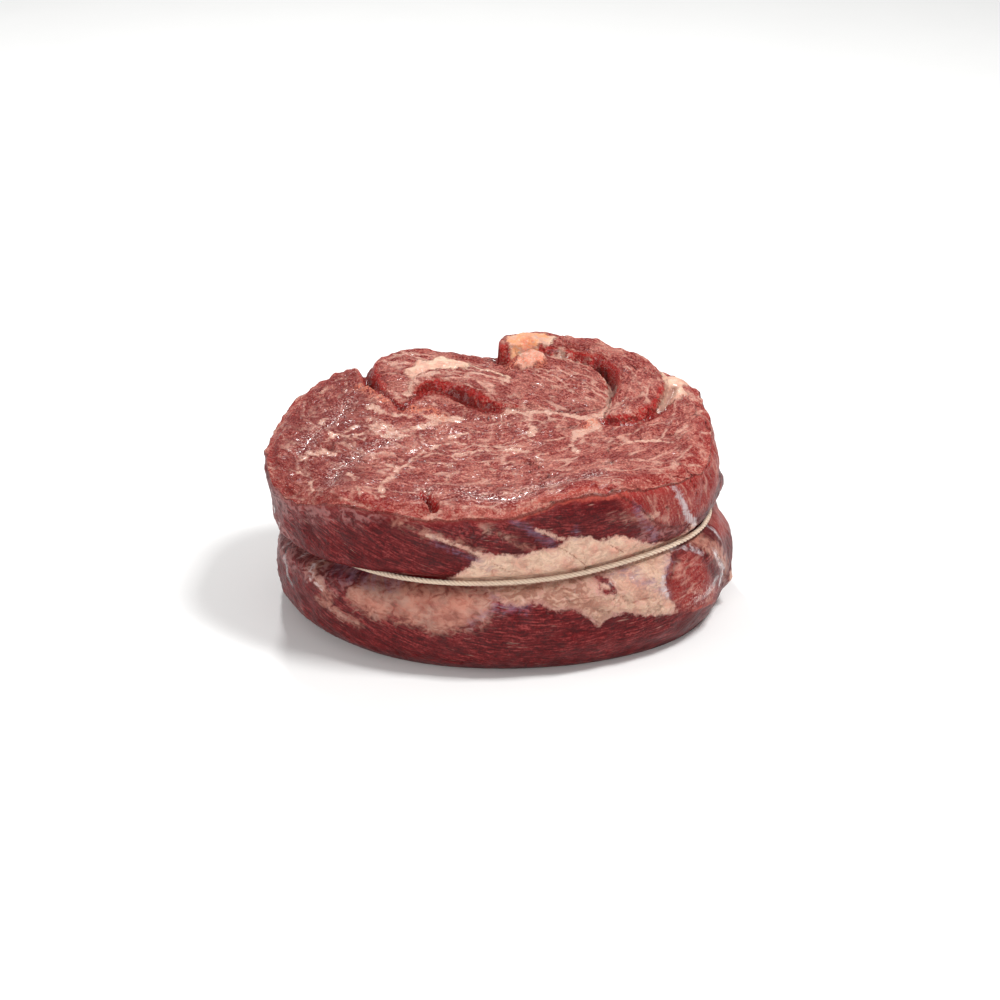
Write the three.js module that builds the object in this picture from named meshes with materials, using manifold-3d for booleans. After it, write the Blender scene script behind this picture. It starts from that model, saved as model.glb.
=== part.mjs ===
// A boned joint of raw beef, rolled up and tied once round its waist with
// string. It stands on one cut end. The other cut end faces up and shows the
// roll: the outer muscle in front, and behind it a tongue of meat and a band of
// meat that are tucked in against each other.
//
// Millimetres, +Z up. The side with the layer of fat faces -Y, and the origin
// lies under the middle of the joint. Angles go round it from +X, in degrees.

import * as THREE from 'three';
import Module from 'manifold-3d';
import { mergeVertices } from 'three/addons/utils/BufferGeometryUtils.js';

// ---------------------------------------------------------------- dimensions

// The joint's outline at five heights, as half widths from the middle. Each is
// a slightly squared oval, a little squarer at the back.
const OUTLINES = {
  foot: { left: 89, right: 91, front: 76.5, back: 70 },
  belly: { left: 96.5, right: 96.5, front: 86, back: 80 },
  waist: { left: 79.5, right: 88.5, front: 73.2, back: 70 },
  shoulder: { left: 97.5, right: 93, front: 77.5, back: 80 },
  rim: { left: 97.5, right: 90, front: 74.5, back: 76 },
};
const SQUARENESS = { front: 2.12, back: 2.7 };

// How the side swells out above and below the string. `peak` is how far the
// fullest part is from the string to the end, `slack` how much of the swelling
// is lost at the string, and `roundness` how late the end rounds in.
const UPPER_SIDE = { full: 'shoulder', end: 'rim', peak: 0.5, slack: 0.18, roundness: 2.6, calm: 0.6 };
const LOWER_SIDE = { full: 'belly', end: 'foot', peak: 0.55, slack: 0.3, roundness: 2.8, calm: 0.8 };

// The string's level round the joint, and the groove that it draws.
const LEVEL = { middle: 40.2, riseToRight: 3.4, riseToBack: 1.9, hump: { at: -42, reach: 22, lift: 2 } };
const GROOVE = { seat: 1.65, mouth: 5.5, tighterAtSides: 3, steepness: 1.2 };
const STRING = { diameter: 2.3, clearance: 0.35 };

// The knot sits at the back in a dent of the groove.
const KNOT = { at: 90, size: 1, rise: 1.2, dent: 4.5, dentReach: 6.5 };

// The run of each cut end from the knot: how far it lies out from the loop's
// middle line, along it and above it.
const TAIL_RUN = [[1.2, 1.2, 0], [2.7, 4.8, -0.9], [7.7, 9, -4.5], [7.7, 12, -9]];

// The upper cut face: a sloping plane with soft swells, rounded at its rim.
const FACE = { height: 76, riseToBack: 0.075, riseToRight: 0.03, uneven: 0.9, rimStart: 0.9, rimDrop: 3.5 };
const FACE_SWELLS = [
  { at: [-88, -46], reach: 32, lift: -8 },
  { at: [50, -66], reach: 26, lift: 4 },
  { at: [-100, 22], reach: 20, lift: -3 },
  { at: [-64, 62], reach: 20, lift: 3.5 },
  { at: [30, 4], reach: 34, lift: 3 },
  { at: [94, -34], reach: 16, lift: -4 },
  { at: [0, 24], reach: 30, lift: 1.2 },
  { at: [84, 34], reach: 20, lift: 3.5 },
];

// What stands out of the face: a smooth outline, the heights of the top here
// and there, between which it runs smoothly, and how far its edge rounds over.
const FOLDS = [
  { // the tongue
    outline: [
      [-57, 60], [-56, 46], [-49, 32], [-42.5, 23.5], [-38, 30], [-30, 36.5], [-22, 33.5],
      [-10, 23], [2, 17.3], [17, 12], [34, 9], [45, 15], [47.5, 36], [41, 54], [26, 64],
      [2, 66], [-10, 71.5], [-24, 78], [-44, 77],
    ],
    heights: [
      [-50, 60, 85.5], [-51, 46, 84], [-43, 28, 80.5], [-30, 38, 86.6], [-14, 31, 86.4],
      [4, 20, 82.6], [24, 12, 81.2], [44, 20, 82.5], [42, 46, 85.5], [18, 58, 87],
      [-3, 60, 82.5], [-24, 62, 87.3], [-22, 75, 84],
    ],
    round: 5,
  },
  { // the band
    outline: [
      [0, 62], [0, 72], [8, 79.5], [30, 80], [54, 70], [68, 54], [73, 36], [68, 16],
      [58, 5], [45.5, 3], [48, 20], [50, 36], [44, 52], [32, 59], [14, 61],
    ],
    heights: [
      [4, 67, 93], [22, 72, 94.5], [22, 63, 92.8], [40, 67, 92.8], [38, 58, 91.3],
      [55, 60, 89.2], [50, 46, 88.8], [66, 44, 86.8], [54, 30, 87], [62, 14, 84.4], [50, 6, 83],
    ],
    round: 5,
  },
];

// Clefts in the face, as smooth curves.
const CLEFTS = [
  { // left of the tongue
    along: [[-62, 76], [-59.5, 62], [-57.5, 50], [-53.5, 38], [-47, 27], [-42.5, 21.5]],
    depth: 6, width: 5,
  },
  { // in front of the tongue
    along: [[-42.5, 21.5], [-37, 28], [-30.5, 33.5], [-23, 31.5], [-10, 20.5], [-1, 16]],
    depth: 2, width: 4,
  },
  { along: [[43, 54], [49, 42], [49, 30], [47.5, 20]], depth: 2.5, width: 4 }, // inside the band
  { along: [[44, 1.5], [52, 0], [62, 5], [70, 15], [75, 30]], depth: 2.5, width: 4.5 }, // outside it
  { along: [[-30.5, -58], [-28, -64], [-26, -69]], depth: 5, width: 3.6 }, // a slit at the front rim
];

// Small lumps on the face: fat at the band's end, and ragged meat on the right.
const LUMPS = [
  { at: [8, 57], reach: 4.2, lift: 3.5 },
  { at: [15.5, 55.5], reach: 4, lift: 3.2 },
  { at: [7, 50.5], reach: 3.4, lift: 2.6 },
  { at: [13.5, 50.5], reach: 3, lift: 2 },
  { at: [84, -2], reach: 5, lift: 1.2 },
  { at: [66, -2], reach: 4, lift: 1.3 },
  { at: [76, 2], reach: 4, lift: 1.2 },
];

// Swells and hollows of the side: at an angle and a height.
const SIDE_SWELLS = [
  { at: [-117, 66], reach: [7, 5], lift: 3.2 }, // the flap beside the slit
  { at: [-58, 70], reach: [26, 7], lift: 2.5 }, // the proud front edge
  { at: [-28, 22], reach: [10, 10], lift: 2.5 }, // the round muscle
  { at: [4, 50], reach: [9, 6], lift: 4.5 }, // the two lobes on the right ...
  { at: [3, 20], reach: [14, 13], lift: 4.6 },
  { at: [4, 38], reach: [8, 5], lift: -3 }, // ... and the hollow between them
  { at: [-6, 11], reach: [2.6, 3.6], lift: 3 }, // a nodule of fat
  { at: [184, 69], reach: [28, 10], lift: 6.5 }, // the overhang on the left
  { at: [130, 68], reach: [3.5, 15], lift: -4 }, // where the roll's clefts run out at the back
  { at: [91, 84], reach: [4, 12], lift: -3.5 },
  { at: [110, 60], reach: [15, 11], lift: 2.2 }, // soft swells of the back
  { at: [48, 22], reach: [17, 12], lift: 2.2 },
  { at: [150, 24], reach: [18, 10], lift: -2 },
];

// Resolution of the skin and of the string.
const FACE_CELLS = 52;
const FINER_AT_BACK = 0.22;
const CURVE_STEPS = 7; // for each point of an outline or a cleft
const UPPER_ROWS = [0.86, 0.68, 0.48, 0.28, 0.12, 0]; // shares of the way from the string
const LOWER_ROWS = [0, 0.1, 0.24, 0.42, 0.6, 0.78, 0.92, 1];
const STRING_SIDES = 8;
const LOOP_STEPS = 96;
const KNOT_SIDES = 6;
const KNOT_STEPS = 32;
const TAIL_STEPS = 5;

// ------------------------------------------------------------------- helpers

const { abs, cos, sin, exp, hypot, max, min, sqrt, PI } = Math;
const DEGREE = PI / 180;

function clamp(x) {
  return min(1, max(0, x));
}

function smoothStep(x) {
  return clamp(x) ** 2 * (3 - 2 * clamp(x));
}

// A bell that is 1 at nought and falls off over about one unit.
function bell(...offsets) {
  return exp(-offsets.reduce((sum, offset) => sum + offset * offset, 0));
}

// How far one angle in degrees lies from another, from -180 to 180.
function turn(angle, from) {
  return ((((angle - from + 180) % 360) + 360) % 360) - 180;
}

// A smooth curve through points in the plane, as short straight steps.
function stepsAlong(points, closed) {
  const corners = points.map(([x, y]) => new THREE.Vector3(x, y, 0));
  const curve = new THREE.CatmullRomCurve3(corners, closed, 'centripetal');
  return curve.getPoints(points.length * CURVE_STEPS).map((p) => [p.x, p.y]);
}

function distanceTo(steps, x, y) {
  let nearest = Infinity;
  for (let i = 1; i < steps.length; i++) {
    const [ax, ay] = steps[i - 1];
    const dx = steps[i][0] - ax;
    const dy = steps[i][1] - ay;
    const share = clamp(((x - ax) * dx + (y - ay) * dy) / (dx * dx + dy * dy));
    nearest = min(nearest, hypot(x - ax - share * dx, y - ay - share * dy));
  }
  return nearest;
}

function isInside(steps, x, y) {
  let inside = false;
  for (let i = 1; i < steps.length; i++) {
    const [ax, ay] = steps[i - 1];
    const [bx, by] = steps[i];
    if (ay > y !== by > y && x < ax + ((bx - ax) * (y - ay)) / (by - ay)) inside = !inside;
  }
  return inside;
}

// A height between given ones: the nearer one is, the more it counts.
function heightBetween(heights, x, y) {
  const softness = 4;
  let sum = 0;
  let weights = 0;
  for (const [hx, hy, height] of heights) {
    const weight = hypot(x - hx, y - hy, softness) ** -3;
    sum += weight * height;
    weights += weight;
  }
  return sum / weights;
}

// The flesh's slow unevenness, from about -1 to 1.
function unevenness(x, y, z) {
  return (
    0.5 * sin(x / 15 + 1.3) * cos(y / 13 - 0.4 + z / 31) +
    0.3 * sin((x + y) / 9.5 + z / 12) * cos((x - y) / 11 + 2.1) +
    0.2 * sin(z / 7 + x / 21) * sin(y / 17 + 0.8)
  );
}

// -------------------------------------------------------------- the meat's form

function radiusOf(name, angle) {
  const { left, right, front, back } = OUTLINES[name];
  const c = cos(angle * DEGREE);
  const s = sin(angle * DEGREE);
  const power = SQUARENESS.front + (SQUARENESS.back - SQUARENESS.front) * smoothStep(0.5 + 0.5 * s);
  const across = abs(c) / (c < 0 ? left : right);
  const along = abs(s) / (s < 0 ? front : back);
  return (across ** power + along ** power) ** (-1 / power);
}

function stringLevel(angle) {
  const { middle, riseToRight, riseToBack, hump } = LEVEL;
  return (
    middle + riseToRight * cos(angle * DEGREE) + riseToBack * sin(angle * DEGREE) +
    hump.lift * bell(turn(angle, hump.at) / hump.reach)
  );
}

// Half the height of the groove's flat floor.
function seatAt(angle) {
  return GROOVE.seat + KNOT.dent * bell(turn(angle, KNOT.at) / KNOT.dentReach);
}

// How far swells and unevenness push the side out.
function sideRelief(angle, z) {
  const radius = radiusOf('belly', angle);
  const even = unevenness(radius * cos(angle * DEGREE), radius * sin(angle * DEGREE), z);
  return SIDE_SWELLS.reduce(
    (sum, { at, reach, lift }) =>
      sum + lift * bell(turn(angle, at[0]) / reach[0], (z - at[1]) / reach[1]),
    even,
  );
}

// The side's radius at a height, a `share` of the way from the groove's floor
// to the far end, and `gap` millimetres above or below that floor.
function sideRadius(side, angle, z, share, gap) {
  const { full, end, peak, slack, roundness, calm } = side;
  const swelling =
    share < peak
      ? 1 - slack * ((peak - share) / peak) ** 2
      : 1 - ((share - peak) / (1 - peak)) ** roundness;
  const atEnd = radiusOf(end, angle);
  const free =
    atEnd + (radiusOf(full, angle) - atEnd) * swelling + sideRelief(angle, z) * (1 - calm * share ** 4);
  const floor = radiusOf('waist', angle);
  const mouth = GROOVE.mouth - GROOVE.tighterAtSides * cos(angle * DEGREE) ** 4;
  return floor + (free - floor) * (1 - exp(-((gap / mouth) ** GROOVE.steepness)));
}

function rimRadius(angle) {
  const usualHeight = FACE.height - FACE.rimDrop;
  return radiusOf('rim', angle) + (1 - UPPER_SIDE.calm) * sideRelief(angle, usualHeight);
}

const foldSteps = FOLDS.map((fold) => stepsAlong(fold.outline, true));
const cleftSteps = CLEFTS.map((cleft) => stepsAlong(cleft.along, false));

// The top of one fold over a point, or nothing where it doesn't reach.
function foldHeight(i, x, y) {
  if (!isInside(foldSteps[i], x, y)) return -Infinity;
  const { heights, round } = FOLDS[i];
  const short = max(0, round - distanceTo(foldSteps[i], x, y)) / round;
  return heightBetween(heights, x, y) - round * (1 - sqrt(1 - short * short));
}

// The height of the cut face at a point, a `share` of the way out to the rim.
function faceHeight(x, y, share) {
  let z = FACE.height + FACE.riseToBack * y + FACE.riseToRight * x;
  z += FACE.uneven * unevenness(x, y, FACE.height / 2);
  for (const { at, reach, lift } of FACE_SWELLS) {
    z += lift * bell((x - at[0]) / reach, (y - at[1]) / reach);
  }
  for (let i = 0; i < FOLDS.length; i++) z = max(z, foldHeight(i, x, y));
  CLEFTS.forEach(({ depth, width }, i) => {
    z -= depth * bell(distanceTo(cleftSteps[i], x, y) / (width / 2));
  });
  for (const { at, reach, lift } of LUMPS) {
    z += lift * bell((x - at[0]) / reach, (y - at[1]) / reach);
  }
  return z - FACE.rimDrop * smoothStep((share - FACE.rimStart) / (1 - FACE.rimStart)) ** 2;
}

// ------------------------------------------------------------- the meat's skin

// Places a square from -1 to 1 on a disc, with its rows closer at the back.
function onDisc(a, row) {
  const b = row + FINER_AT_BACK * (1 - row * row);
  return [a * sqrt(1 - (b * b) / 2), b * sqrt(1 - (a * a) / 2)];
}

class Skin {
  points = [];
  triangles = [];

  put(x, y, z) {
    return this.points.push(x, y, z) / 3 - 1;
  }

  putRound(radius, angle, z) {
    return this.put(radius * cos(angle * DEGREE), radius * sin(angle * DEGREE), z);
  }

  quad(a, b, c, d) {
    this.triangles.push(a, b, c, a, c, d);
  }

  // Joins a ring of corners to the next one below it.
  joinRings(upper, lower) {
    upper.forEach((corner, k) => {
      const after = (k + 1) % upper.length;
      this.quad(upper[after], corner, lower[k], lower[after]);
    });
  }

  geometry() {
    return new THREE.BufferGeometry()
      .setAttribute('position', new THREE.Float32BufferAttribute(this.points, 3))
      .setIndex(this.triangles);
  }
}

// Adds the cut face and returns its rim, counter-clockwise from above.
function addFace(skin) {
  const last = FACE_CELLS;
  const grid = [];
  for (let i = 0; i <= last; i++) {
    grid.push([]);
    for (let j = 0; j <= last; j++) {
      const [u, v] = onDisc((2 * i) / last - 1, (2 * j) / last - 1);
      const share = min(1, hypot(u, v));
      const angle = Math.atan2(v, u);
      const radius = share * rimRadius(angle / DEGREE);
      const x = radius * cos(angle);
      const y = radius * sin(angle);
      grid[i].push(skin.put(x, y, faceHeight(x, y, share)));
    }
  }
  const drop = (a, b) => abs(skin.points[3 * a + 2] - skin.points[3 * b + 2]);
  for (let i = 0; i < last; i++) {
    for (let j = 0; j < last; j++) {
      const [a, b, c, d] = [grid[i][j], grid[i + 1][j], grid[i + 1][j + 1], grid[i][j + 1]];
      if (drop(a, c) < drop(b, d)) skin.quad(a, b, c, d);
      else skin.quad(b, c, d, a);
    }
  }
  const rim = [];
  for (let k = 0; k < last; k++) rim.push(grid[k][0]);
  for (let k = 0; k < last; k++) rim.push(grid[last][k]);
  for (let k = last; k > 0; k--) rim.push(grid[k][last]);
  for (let k = last; k > 0; k--) rim.push(grid[0][k]);
  return rim;
}

function meatGeometry() {
  const skin = new Skin();
  let ring = addFace(skin);
  const rim = ring.map((corner) => ({
    angle: Math.atan2(skin.points[3 * corner + 1], skin.points[3 * corner]) / DEGREE,
    height: skin.points[3 * corner + 2],
  }));
  const addRing = (side, share, floorOf, endOf) => {
    const next = rim.map((place) => {
      const floor = floorOf(place.angle);
      const gap = share * abs(endOf(place) - floor);
      const z = floor + share * (endOf(place) - floor);
      return skin.putRound(sideRadius(side, place.angle, z, share, gap), place.angle, z);
    });
    skin.joinRings(ring, next);
    ring = next;
  };
  for (const share of UPPER_ROWS) {
    addRing(UPPER_SIDE, share, (angle) => stringLevel(angle) + seatAt(angle), ({ height }) => height);
  }
  for (const share of LOWER_ROWS) {
    addRing(LOWER_SIDE, share, (angle) => stringLevel(angle) - seatAt(angle), () => 0);
  }
  const middle = skin.put(0, 0, 0);
  ring.forEach((corner, k) => skin.triangles.push(middle, ring[(k + 1) % ring.length], corner));
  return skin.geometry();
}

// ------------------------------------------------------------------ the string

// A point beside the loop's middle line: `out` from it, `aside` along it and `up`.
function besideLoop(angle, out = 0, aside = 0, up = 0) {
  const radius = radiusOf('waist', angle) + STRING.clearance + STRING.diameter / 2 + out;
  const c = cos(angle * DEGREE);
  const s = sin(angle * DEGREE);
  return new THREE.Vector3(radius * c - aside * s, radius * s + aside * c, stringLevel(angle) + up);
}

class Loop extends THREE.Curve {
  getPoint(t) {
    return besideLoop(360 * t);
  }
}

// The knot: a trefoil that lies flat against the meat.
class Trefoil extends THREE.Curve {
  getPoint(t) {
    const a = 2 * PI * t;
    const aside = KNOT.size * (sin(a) + 2 * sin(2 * a));
    const up = KNOT.size * (cos(a) - 2 * cos(2 * a));
    return besideLoop(KNOT.at, KNOT.rise - KNOT.size * sin(3 * a), aside, up);
  }
}

// One of the string's cut ends, to the left or the right of the knot.
function tailCurve(side) {
  return new THREE.CatmullRomCurve3(
    TAIL_RUN.map(([out, along, up]) => besideLoop(KNOT.at, out, side * along, up)),
  );
}

// A round tube along a curve, closed into a ring or with flat ends.
function tubeGeometry(curve, steps, sides, closed) {
  const frames = curve.computeFrenetFrames(steps, closed);
  const skin = new Skin();
  const rings = [];
  for (let i = 0; i < (closed ? steps : steps + 1); i++) {
    const centre = curve.getPointAt(i / steps);
    const ring = [];
    for (let k = 0; k < sides; k++) {
      const a = (2 * PI * k) / sides;
      const corner = centre
        .clone()
        .addScaledVector(frames.normals[i], (STRING.diameter / 2) * cos(a))
        .addScaledVector(frames.binormals[i], (STRING.diameter / 2) * sin(a));
      ring.push(skin.put(corner.x, corner.y, corner.z));
    }
    if (i > 0) skin.joinRings(ring, rings[i - 1]);
    rings.push(ring);
  }
  if (closed) {
    skin.joinRings(rings[0], rings[steps - 1]);
  } else {
    for (let k = 1; k < sides - 1; k++) {
      skin.triangles.push(rings[0][0], rings[0][k + 1], rings[0][k]);
      skin.triangles.push(rings[steps][0], rings[steps][k], rings[steps][k + 1]);
    }
  }
  return skin.geometry();
}

const wasm = await Module();
wasm.setup();

function toSolid(geometry) {
  const merged = mergeVertices(geometry);
  return new wasm.Manifold(
    new wasm.Mesh({
      numProp: 3,
      vertProperties: merged.attributes.position.array,
      triVerts: new Uint32Array(merged.index.array),
    }),
  );
}

function stringGeometry() {
  const pieces = [
    tubeGeometry(new Loop(), LOOP_STEPS, STRING_SIDES, true),
    tubeGeometry(new Trefoil(), KNOT_STEPS, KNOT_SIDES, true),
    tubeGeometry(tailCurve(-1), TAIL_STEPS, KNOT_SIDES, false),
    tubeGeometry(tailCurve(1), TAIL_STEPS, KNOT_SIDES, false),
  ];
  const mesh = pieces.map(toSolid).reduce((whole, piece) => whole.add(piece)).getMesh();
  return new THREE.BufferGeometry()
    .setAttribute('position', new THREE.BufferAttribute(new Float32Array(mesh.vertProperties), 3))
    .setIndex(Array.from(mesh.triVerts));
}

// ------------------------------------------------------------------- the joint

const meat = new THREE.Mesh(
  meatGeometry(),
  new THREE.MeshStandardMaterial({ color: 0x7d3532, roughness: 0.42, metalness: 0 }),
);
meat.name = 'beef';

const string = new THREE.Mesh(
  stringGeometry(),
  new THREE.MeshStandardMaterial({ color: 0xd9cdb8, roughness: 0.9, metalness: 0 }),
);
string.name = 'string';

const joint = new THREE.Group();
joint.add(meat, string);

// The swells make the box a little lopsided, so it is centred on the origin here.
const box = new THREE.Box3().setFromObject(joint);
for (const piece of joint.children) {
  piece.geometry.translate(-(box.min.x + box.max.x) / 2, -(box.min.y + box.max.y) / 2, -box.min.z);
}

export default joint;
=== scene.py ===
"""A boned joint of raw beef, rolled up and tied once round its waist with string.

The joint stands on one cut end. The other cut end faces up and shows the roll: the outer muscle
in front, and behind it a tongue and a band of meat that are tucked in against each other.

Lengths are in millimetres until a mesh is made. +Z is up and the side with the fat faces -Y.
Angles go round the joint from +X, in degrees.
"""

import logging
import math
from collections.abc import Sequence
from dataclasses import dataclass, field
from enum import Enum

import bpy
import numpy as np
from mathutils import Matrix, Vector


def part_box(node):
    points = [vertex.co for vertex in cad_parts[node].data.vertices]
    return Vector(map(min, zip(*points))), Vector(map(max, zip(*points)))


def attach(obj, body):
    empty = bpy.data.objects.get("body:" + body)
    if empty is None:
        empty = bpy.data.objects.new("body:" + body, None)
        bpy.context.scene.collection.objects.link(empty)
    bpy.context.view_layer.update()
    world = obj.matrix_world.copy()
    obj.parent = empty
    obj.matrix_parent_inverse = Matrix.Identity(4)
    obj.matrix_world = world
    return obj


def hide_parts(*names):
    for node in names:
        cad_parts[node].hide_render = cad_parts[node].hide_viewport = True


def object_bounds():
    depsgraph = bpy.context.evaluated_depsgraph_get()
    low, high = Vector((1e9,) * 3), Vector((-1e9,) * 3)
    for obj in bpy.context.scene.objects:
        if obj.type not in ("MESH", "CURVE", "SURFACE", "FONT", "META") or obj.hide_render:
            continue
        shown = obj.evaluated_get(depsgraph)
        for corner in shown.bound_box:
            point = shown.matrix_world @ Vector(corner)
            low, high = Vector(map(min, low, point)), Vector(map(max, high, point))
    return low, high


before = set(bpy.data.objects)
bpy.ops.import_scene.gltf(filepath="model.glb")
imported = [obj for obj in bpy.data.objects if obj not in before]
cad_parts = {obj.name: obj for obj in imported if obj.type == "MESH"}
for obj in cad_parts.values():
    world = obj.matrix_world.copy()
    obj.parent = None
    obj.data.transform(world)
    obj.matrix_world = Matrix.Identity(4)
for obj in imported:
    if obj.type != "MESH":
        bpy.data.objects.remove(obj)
CAD_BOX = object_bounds()

MM = 0.001
DEGREE = math.pi / 180
Array = np.ndarray
Point = tuple[float, float]
Faces = list[tuple[int, ...]]
log = logging.getLogger("joint")


# ------------------------------------------------------------------------------ plain maths


def smooth(x: Array) -> Array:
    """A soft step from 0 at 0 to 1 at 1."""
    t = np.clip(x, 0, 1)
    return t * t * (3 - 2 * t)


def bell(*offsets: Array) -> Array:
    """A bell that is 1 at nought and falls off over about one unit."""
    return np.exp(-sum(offset * offset for offset in offsets))


def turn(angle: Array, start: float) -> Array:
    """How far an angle lies from another one, from -180 to 180 degrees."""
    return (angle - start + 180) % 360 - 180


def unevenness(x: Array, y: Array, z: Array) -> Array:
    """The flesh's slow unevenness: three crossed waves, each smaller than the one before.

    Args:
        x: the places' x in millimetres.
        y: their y.
        z: their z.

    Returns:
        Values from about -1 to 1.
    """
    broad = np.sin(x / 15 + 1.3) * np.cos(y / 13 - 0.4 + z / 31)
    slanted = np.sin((x + y) / 9.5 + z / 12) * np.cos((x - y) / 11 + 2.1)
    upright = np.sin(z / 7 + x / 21) * np.sin(y / 17 + 0.8)
    return 0.5 * broad + 0.3 * slanted + 0.2 * upright


class Noise:
    """Smooth gradient noise in space, the same on every run."""

    CELLS = 256  # before the lattice repeats
    GAIN = 1.6  # brings the values out to about -1 and 1
    OCTAVE_SHIFT = 7.3  # keeps the sizes from lining up

    def __init__(self, seed: int) -> None:
        """Draws the lattice's slopes.

        Args:
            seed: what the generator starts from.
        """
        draw = np.random.default_rng(seed)
        self.order = draw.permutation(self.CELLS)
        slopes = draw.normal(size=(self.CELLS, 3))
        self.slopes = slopes / np.linalg.norm(slopes, axis=1, keepdims=True)

    def at(self, points: Array) -> Array:
        """The noise at points in space.

        Args:
            points: an array whose last axis holds x, y and z, in lattice cells.

        Returns:
            Values from about -1 to 1, one for each point.
        """
        base = np.floor(points).astype(int)
        part = points - base
        ease = part**3 * (part * (part * 6 - 15) + 10)
        total = np.zeros(points.shape[:-1])
        for corner in np.ndindex(2, 2, 2):
            cell = base + corner
            key = self.order[cell[..., 0] % self.CELLS]
            key = self.order[(key + cell[..., 1]) % self.CELLS]
            key = self.order[(key + cell[..., 2]) % self.CELLS]
            share = np.prod(np.where(np.array(corner) == 1, ease, 1 - ease), axis=-1)
            total += share * np.sum(self.slopes[key] * (part - corner), axis=-1)
        return self.GAIN * total

    def octaves(self, points: Array, count: int) -> Array:
        """Noise of several sizes on top of each other, each half the one before."""
        return sum(self.at(points * 2**k + self.OCTAVE_SHIFT * k) / 2**k for k in range(count))


# ------------------------------------------------------------------- lines on the surface


def steps_along(points: Sequence[Point], closed: bool, count: int = 7) -> Array:
    """A smooth curve through points in the plane.

    Args:
        points: the corners that the curve goes through.
        closed: whether it comes back to the first one.
        count: short straight steps for each corner.

    Returns:
        The ends of the steps, one row each.
    """
    corners = np.array(points, float)
    n = len(corners)
    if closed:
        padded = np.vstack([corners[-1:], corners, corners[:2]])
    else:
        before, after = 2 * corners[:1] - corners[1:2], 2 * corners[-1:] - corners[-2:-1]
        padded = np.vstack([before, corners, after])
    spans = n if closed else n - 1
    found = []
    for place in np.linspace(0, spans, n * count + 1):
        i = min(int(place), spans - 1)
        t = place - i
        p0, p1, p2, p3 = padded[i : i + 4]
        d0, d1, d2 = (math.dist(a, b) ** 0.5 for a, b in ((p0, p1), (p1, p2), (p2, p3)))
        leave = ((p1 - p0) / d0 - (p2 - p0) / (d0 + d1) + (p2 - p1) / d1) * d1
        arrive = ((p2 - p1) / d1 - (p3 - p1) / (d1 + d2) + (p3 - p2) / d2) * d1
        bend = -3 * p1 + 3 * p2 - 2 * leave - arrive
        twist = 2 * p1 - 2 * p2 + leave + arrive
        found.append(p1 + leave * t + bend * t * t + twist * t**3)
    return np.array(found)


def distance_to(steps: Array, x: Array, y: Array) -> Array:
    """How far places lie from a line of short steps.

    Args:
        steps: the ends of the steps.
        x: the places' first number.
        y: their second number.

    Returns:
        The distance of each place from the nearest step.
    """
    nearest = np.full(np.shape(x), np.inf)
    for (ax, ay), (bx, by) in zip(steps[:-1], steps[1:]):
        dx, dy = bx - ax, by - ay
        share = np.clip(((x - ax) * dx + (y - ay) * dy) / (dx * dx + dy * dy + 1e-12), 0, 1)
        nearest = np.minimum(nearest, np.hypot(x - ax - share * dx, y - ay - share * dy))
    return nearest


def is_inside(steps: Array, x: Array, y: Array) -> Array:
    """Whether places lie inside a closed line of short steps.

    Args:
        steps: the ends of the steps, where the last one is the first one again.
        x: the places' first number.
        y: their second number.

    Returns:
        True for each place inside.
    """
    inside = np.zeros(np.shape(x), bool)
    for (ax, ay), (bx, by) in zip(steps[:-1], steps[1:]):
        if ay != by:
            inside ^= ((ay > y) != (by > y)) & (x < ax + (bx - ax) * (y - ay) / (by - ay))
    return inside


class Where(Enum):
    """The two parts of the skin that patches of tissue lie on."""

    FACE = "face"  # places are x and y
    SIDE = "side"  # places are an angle and a height


FACE, SIDE = Where.FACE, Where.SIDE
FAR = 8.0  # how far from a patch's edge its depth is still told
SIDE_RADIUS = 86.0  # what turns an angle on the side into a length


@dataclass(frozen=True)
class Patch:
    """A patch or strip of tissue: an outline, or a middle line with a half width."""

    where: Where
    points: Sequence[Point]
    half_width: float = 0.0

    def depth(self, x: Array, y: Array) -> Array:
        """How deep inside the patch places lie.

        Args:
            x: the places' x, or their angles on the side.
            y: the places' y, or their heights on the side.

        Returns:
            Millimetres inside its edge, or less than nought outside it.
        """
        points = np.array(self.points, float)
        if self.where is SIDE:
            middle = points[:, 0].mean()
            arc = DEGREE * SIDE_RADIUS
            x = turn(x, middle) * arc
            points[:, 0] = (points[:, 0] - middle) * arc
        steps = steps_along(points, closed=self.half_width == 0)
        if self.half_width:
            return self.half_width - distance_to(steps, x, y)
        return np.where(is_inside(steps, x, y), 1, -1) * distance_to(steps, x, y)


def deepest(patches: Sequence[Patch], where: Where, x: Array, y: Array) -> Array:
    """How deep places lie in whichever patch they lie deepest in.

    Args:
        patches: the patches of one tissue.
        where: the part of the skin that the places are on.
        x: the places' x, or their angles on the side.
        y: the places' y, or their heights on the side.

    Returns:
        Millimetres inside the patch, kept within +-FAR.
    """
    found = np.full(np.shape(x), -FAR)
    for patch in patches:
        if patch.where is where:
            found = np.maximum(found, patch.depth(x, y))
    return np.clip(found, -FAR, FAR)


# ---------------------------------------------------------------------------- the meat's form


@dataclass(frozen=True)
class Oval:
    """An outline of the joint at one height, as half widths from the middle."""

    left: float
    right: float
    front: float
    back: float
    front_power: float = 2.12
    back_power: float = 2.7

    def radius(self, angle: Array) -> Array:
        """How far out the outline runs.

        Args:
            angle: angles round the joint.

        Returns:
            The outline's distance from the middle at each of them.
        """
        c, s = np.cos(angle * DEGREE), np.sin(angle * DEGREE)
        power = self.front_power + (self.back_power - self.front_power) * smooth(0.5 + 0.5 * s)
        across = np.abs(c) / np.where(c < 0, self.left, self.right)
        along = np.abs(s) / np.where(s < 0, self.front, self.back)
        return (across**power + along**power) ** (-1 / power)


WAIST = Oval(79.5, 88.5, 73.2, 70)
RIM = Oval(97.5, 90, 74.5, 76)
BELLY = Oval(96.5, 96.5, 86, 80)


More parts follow.
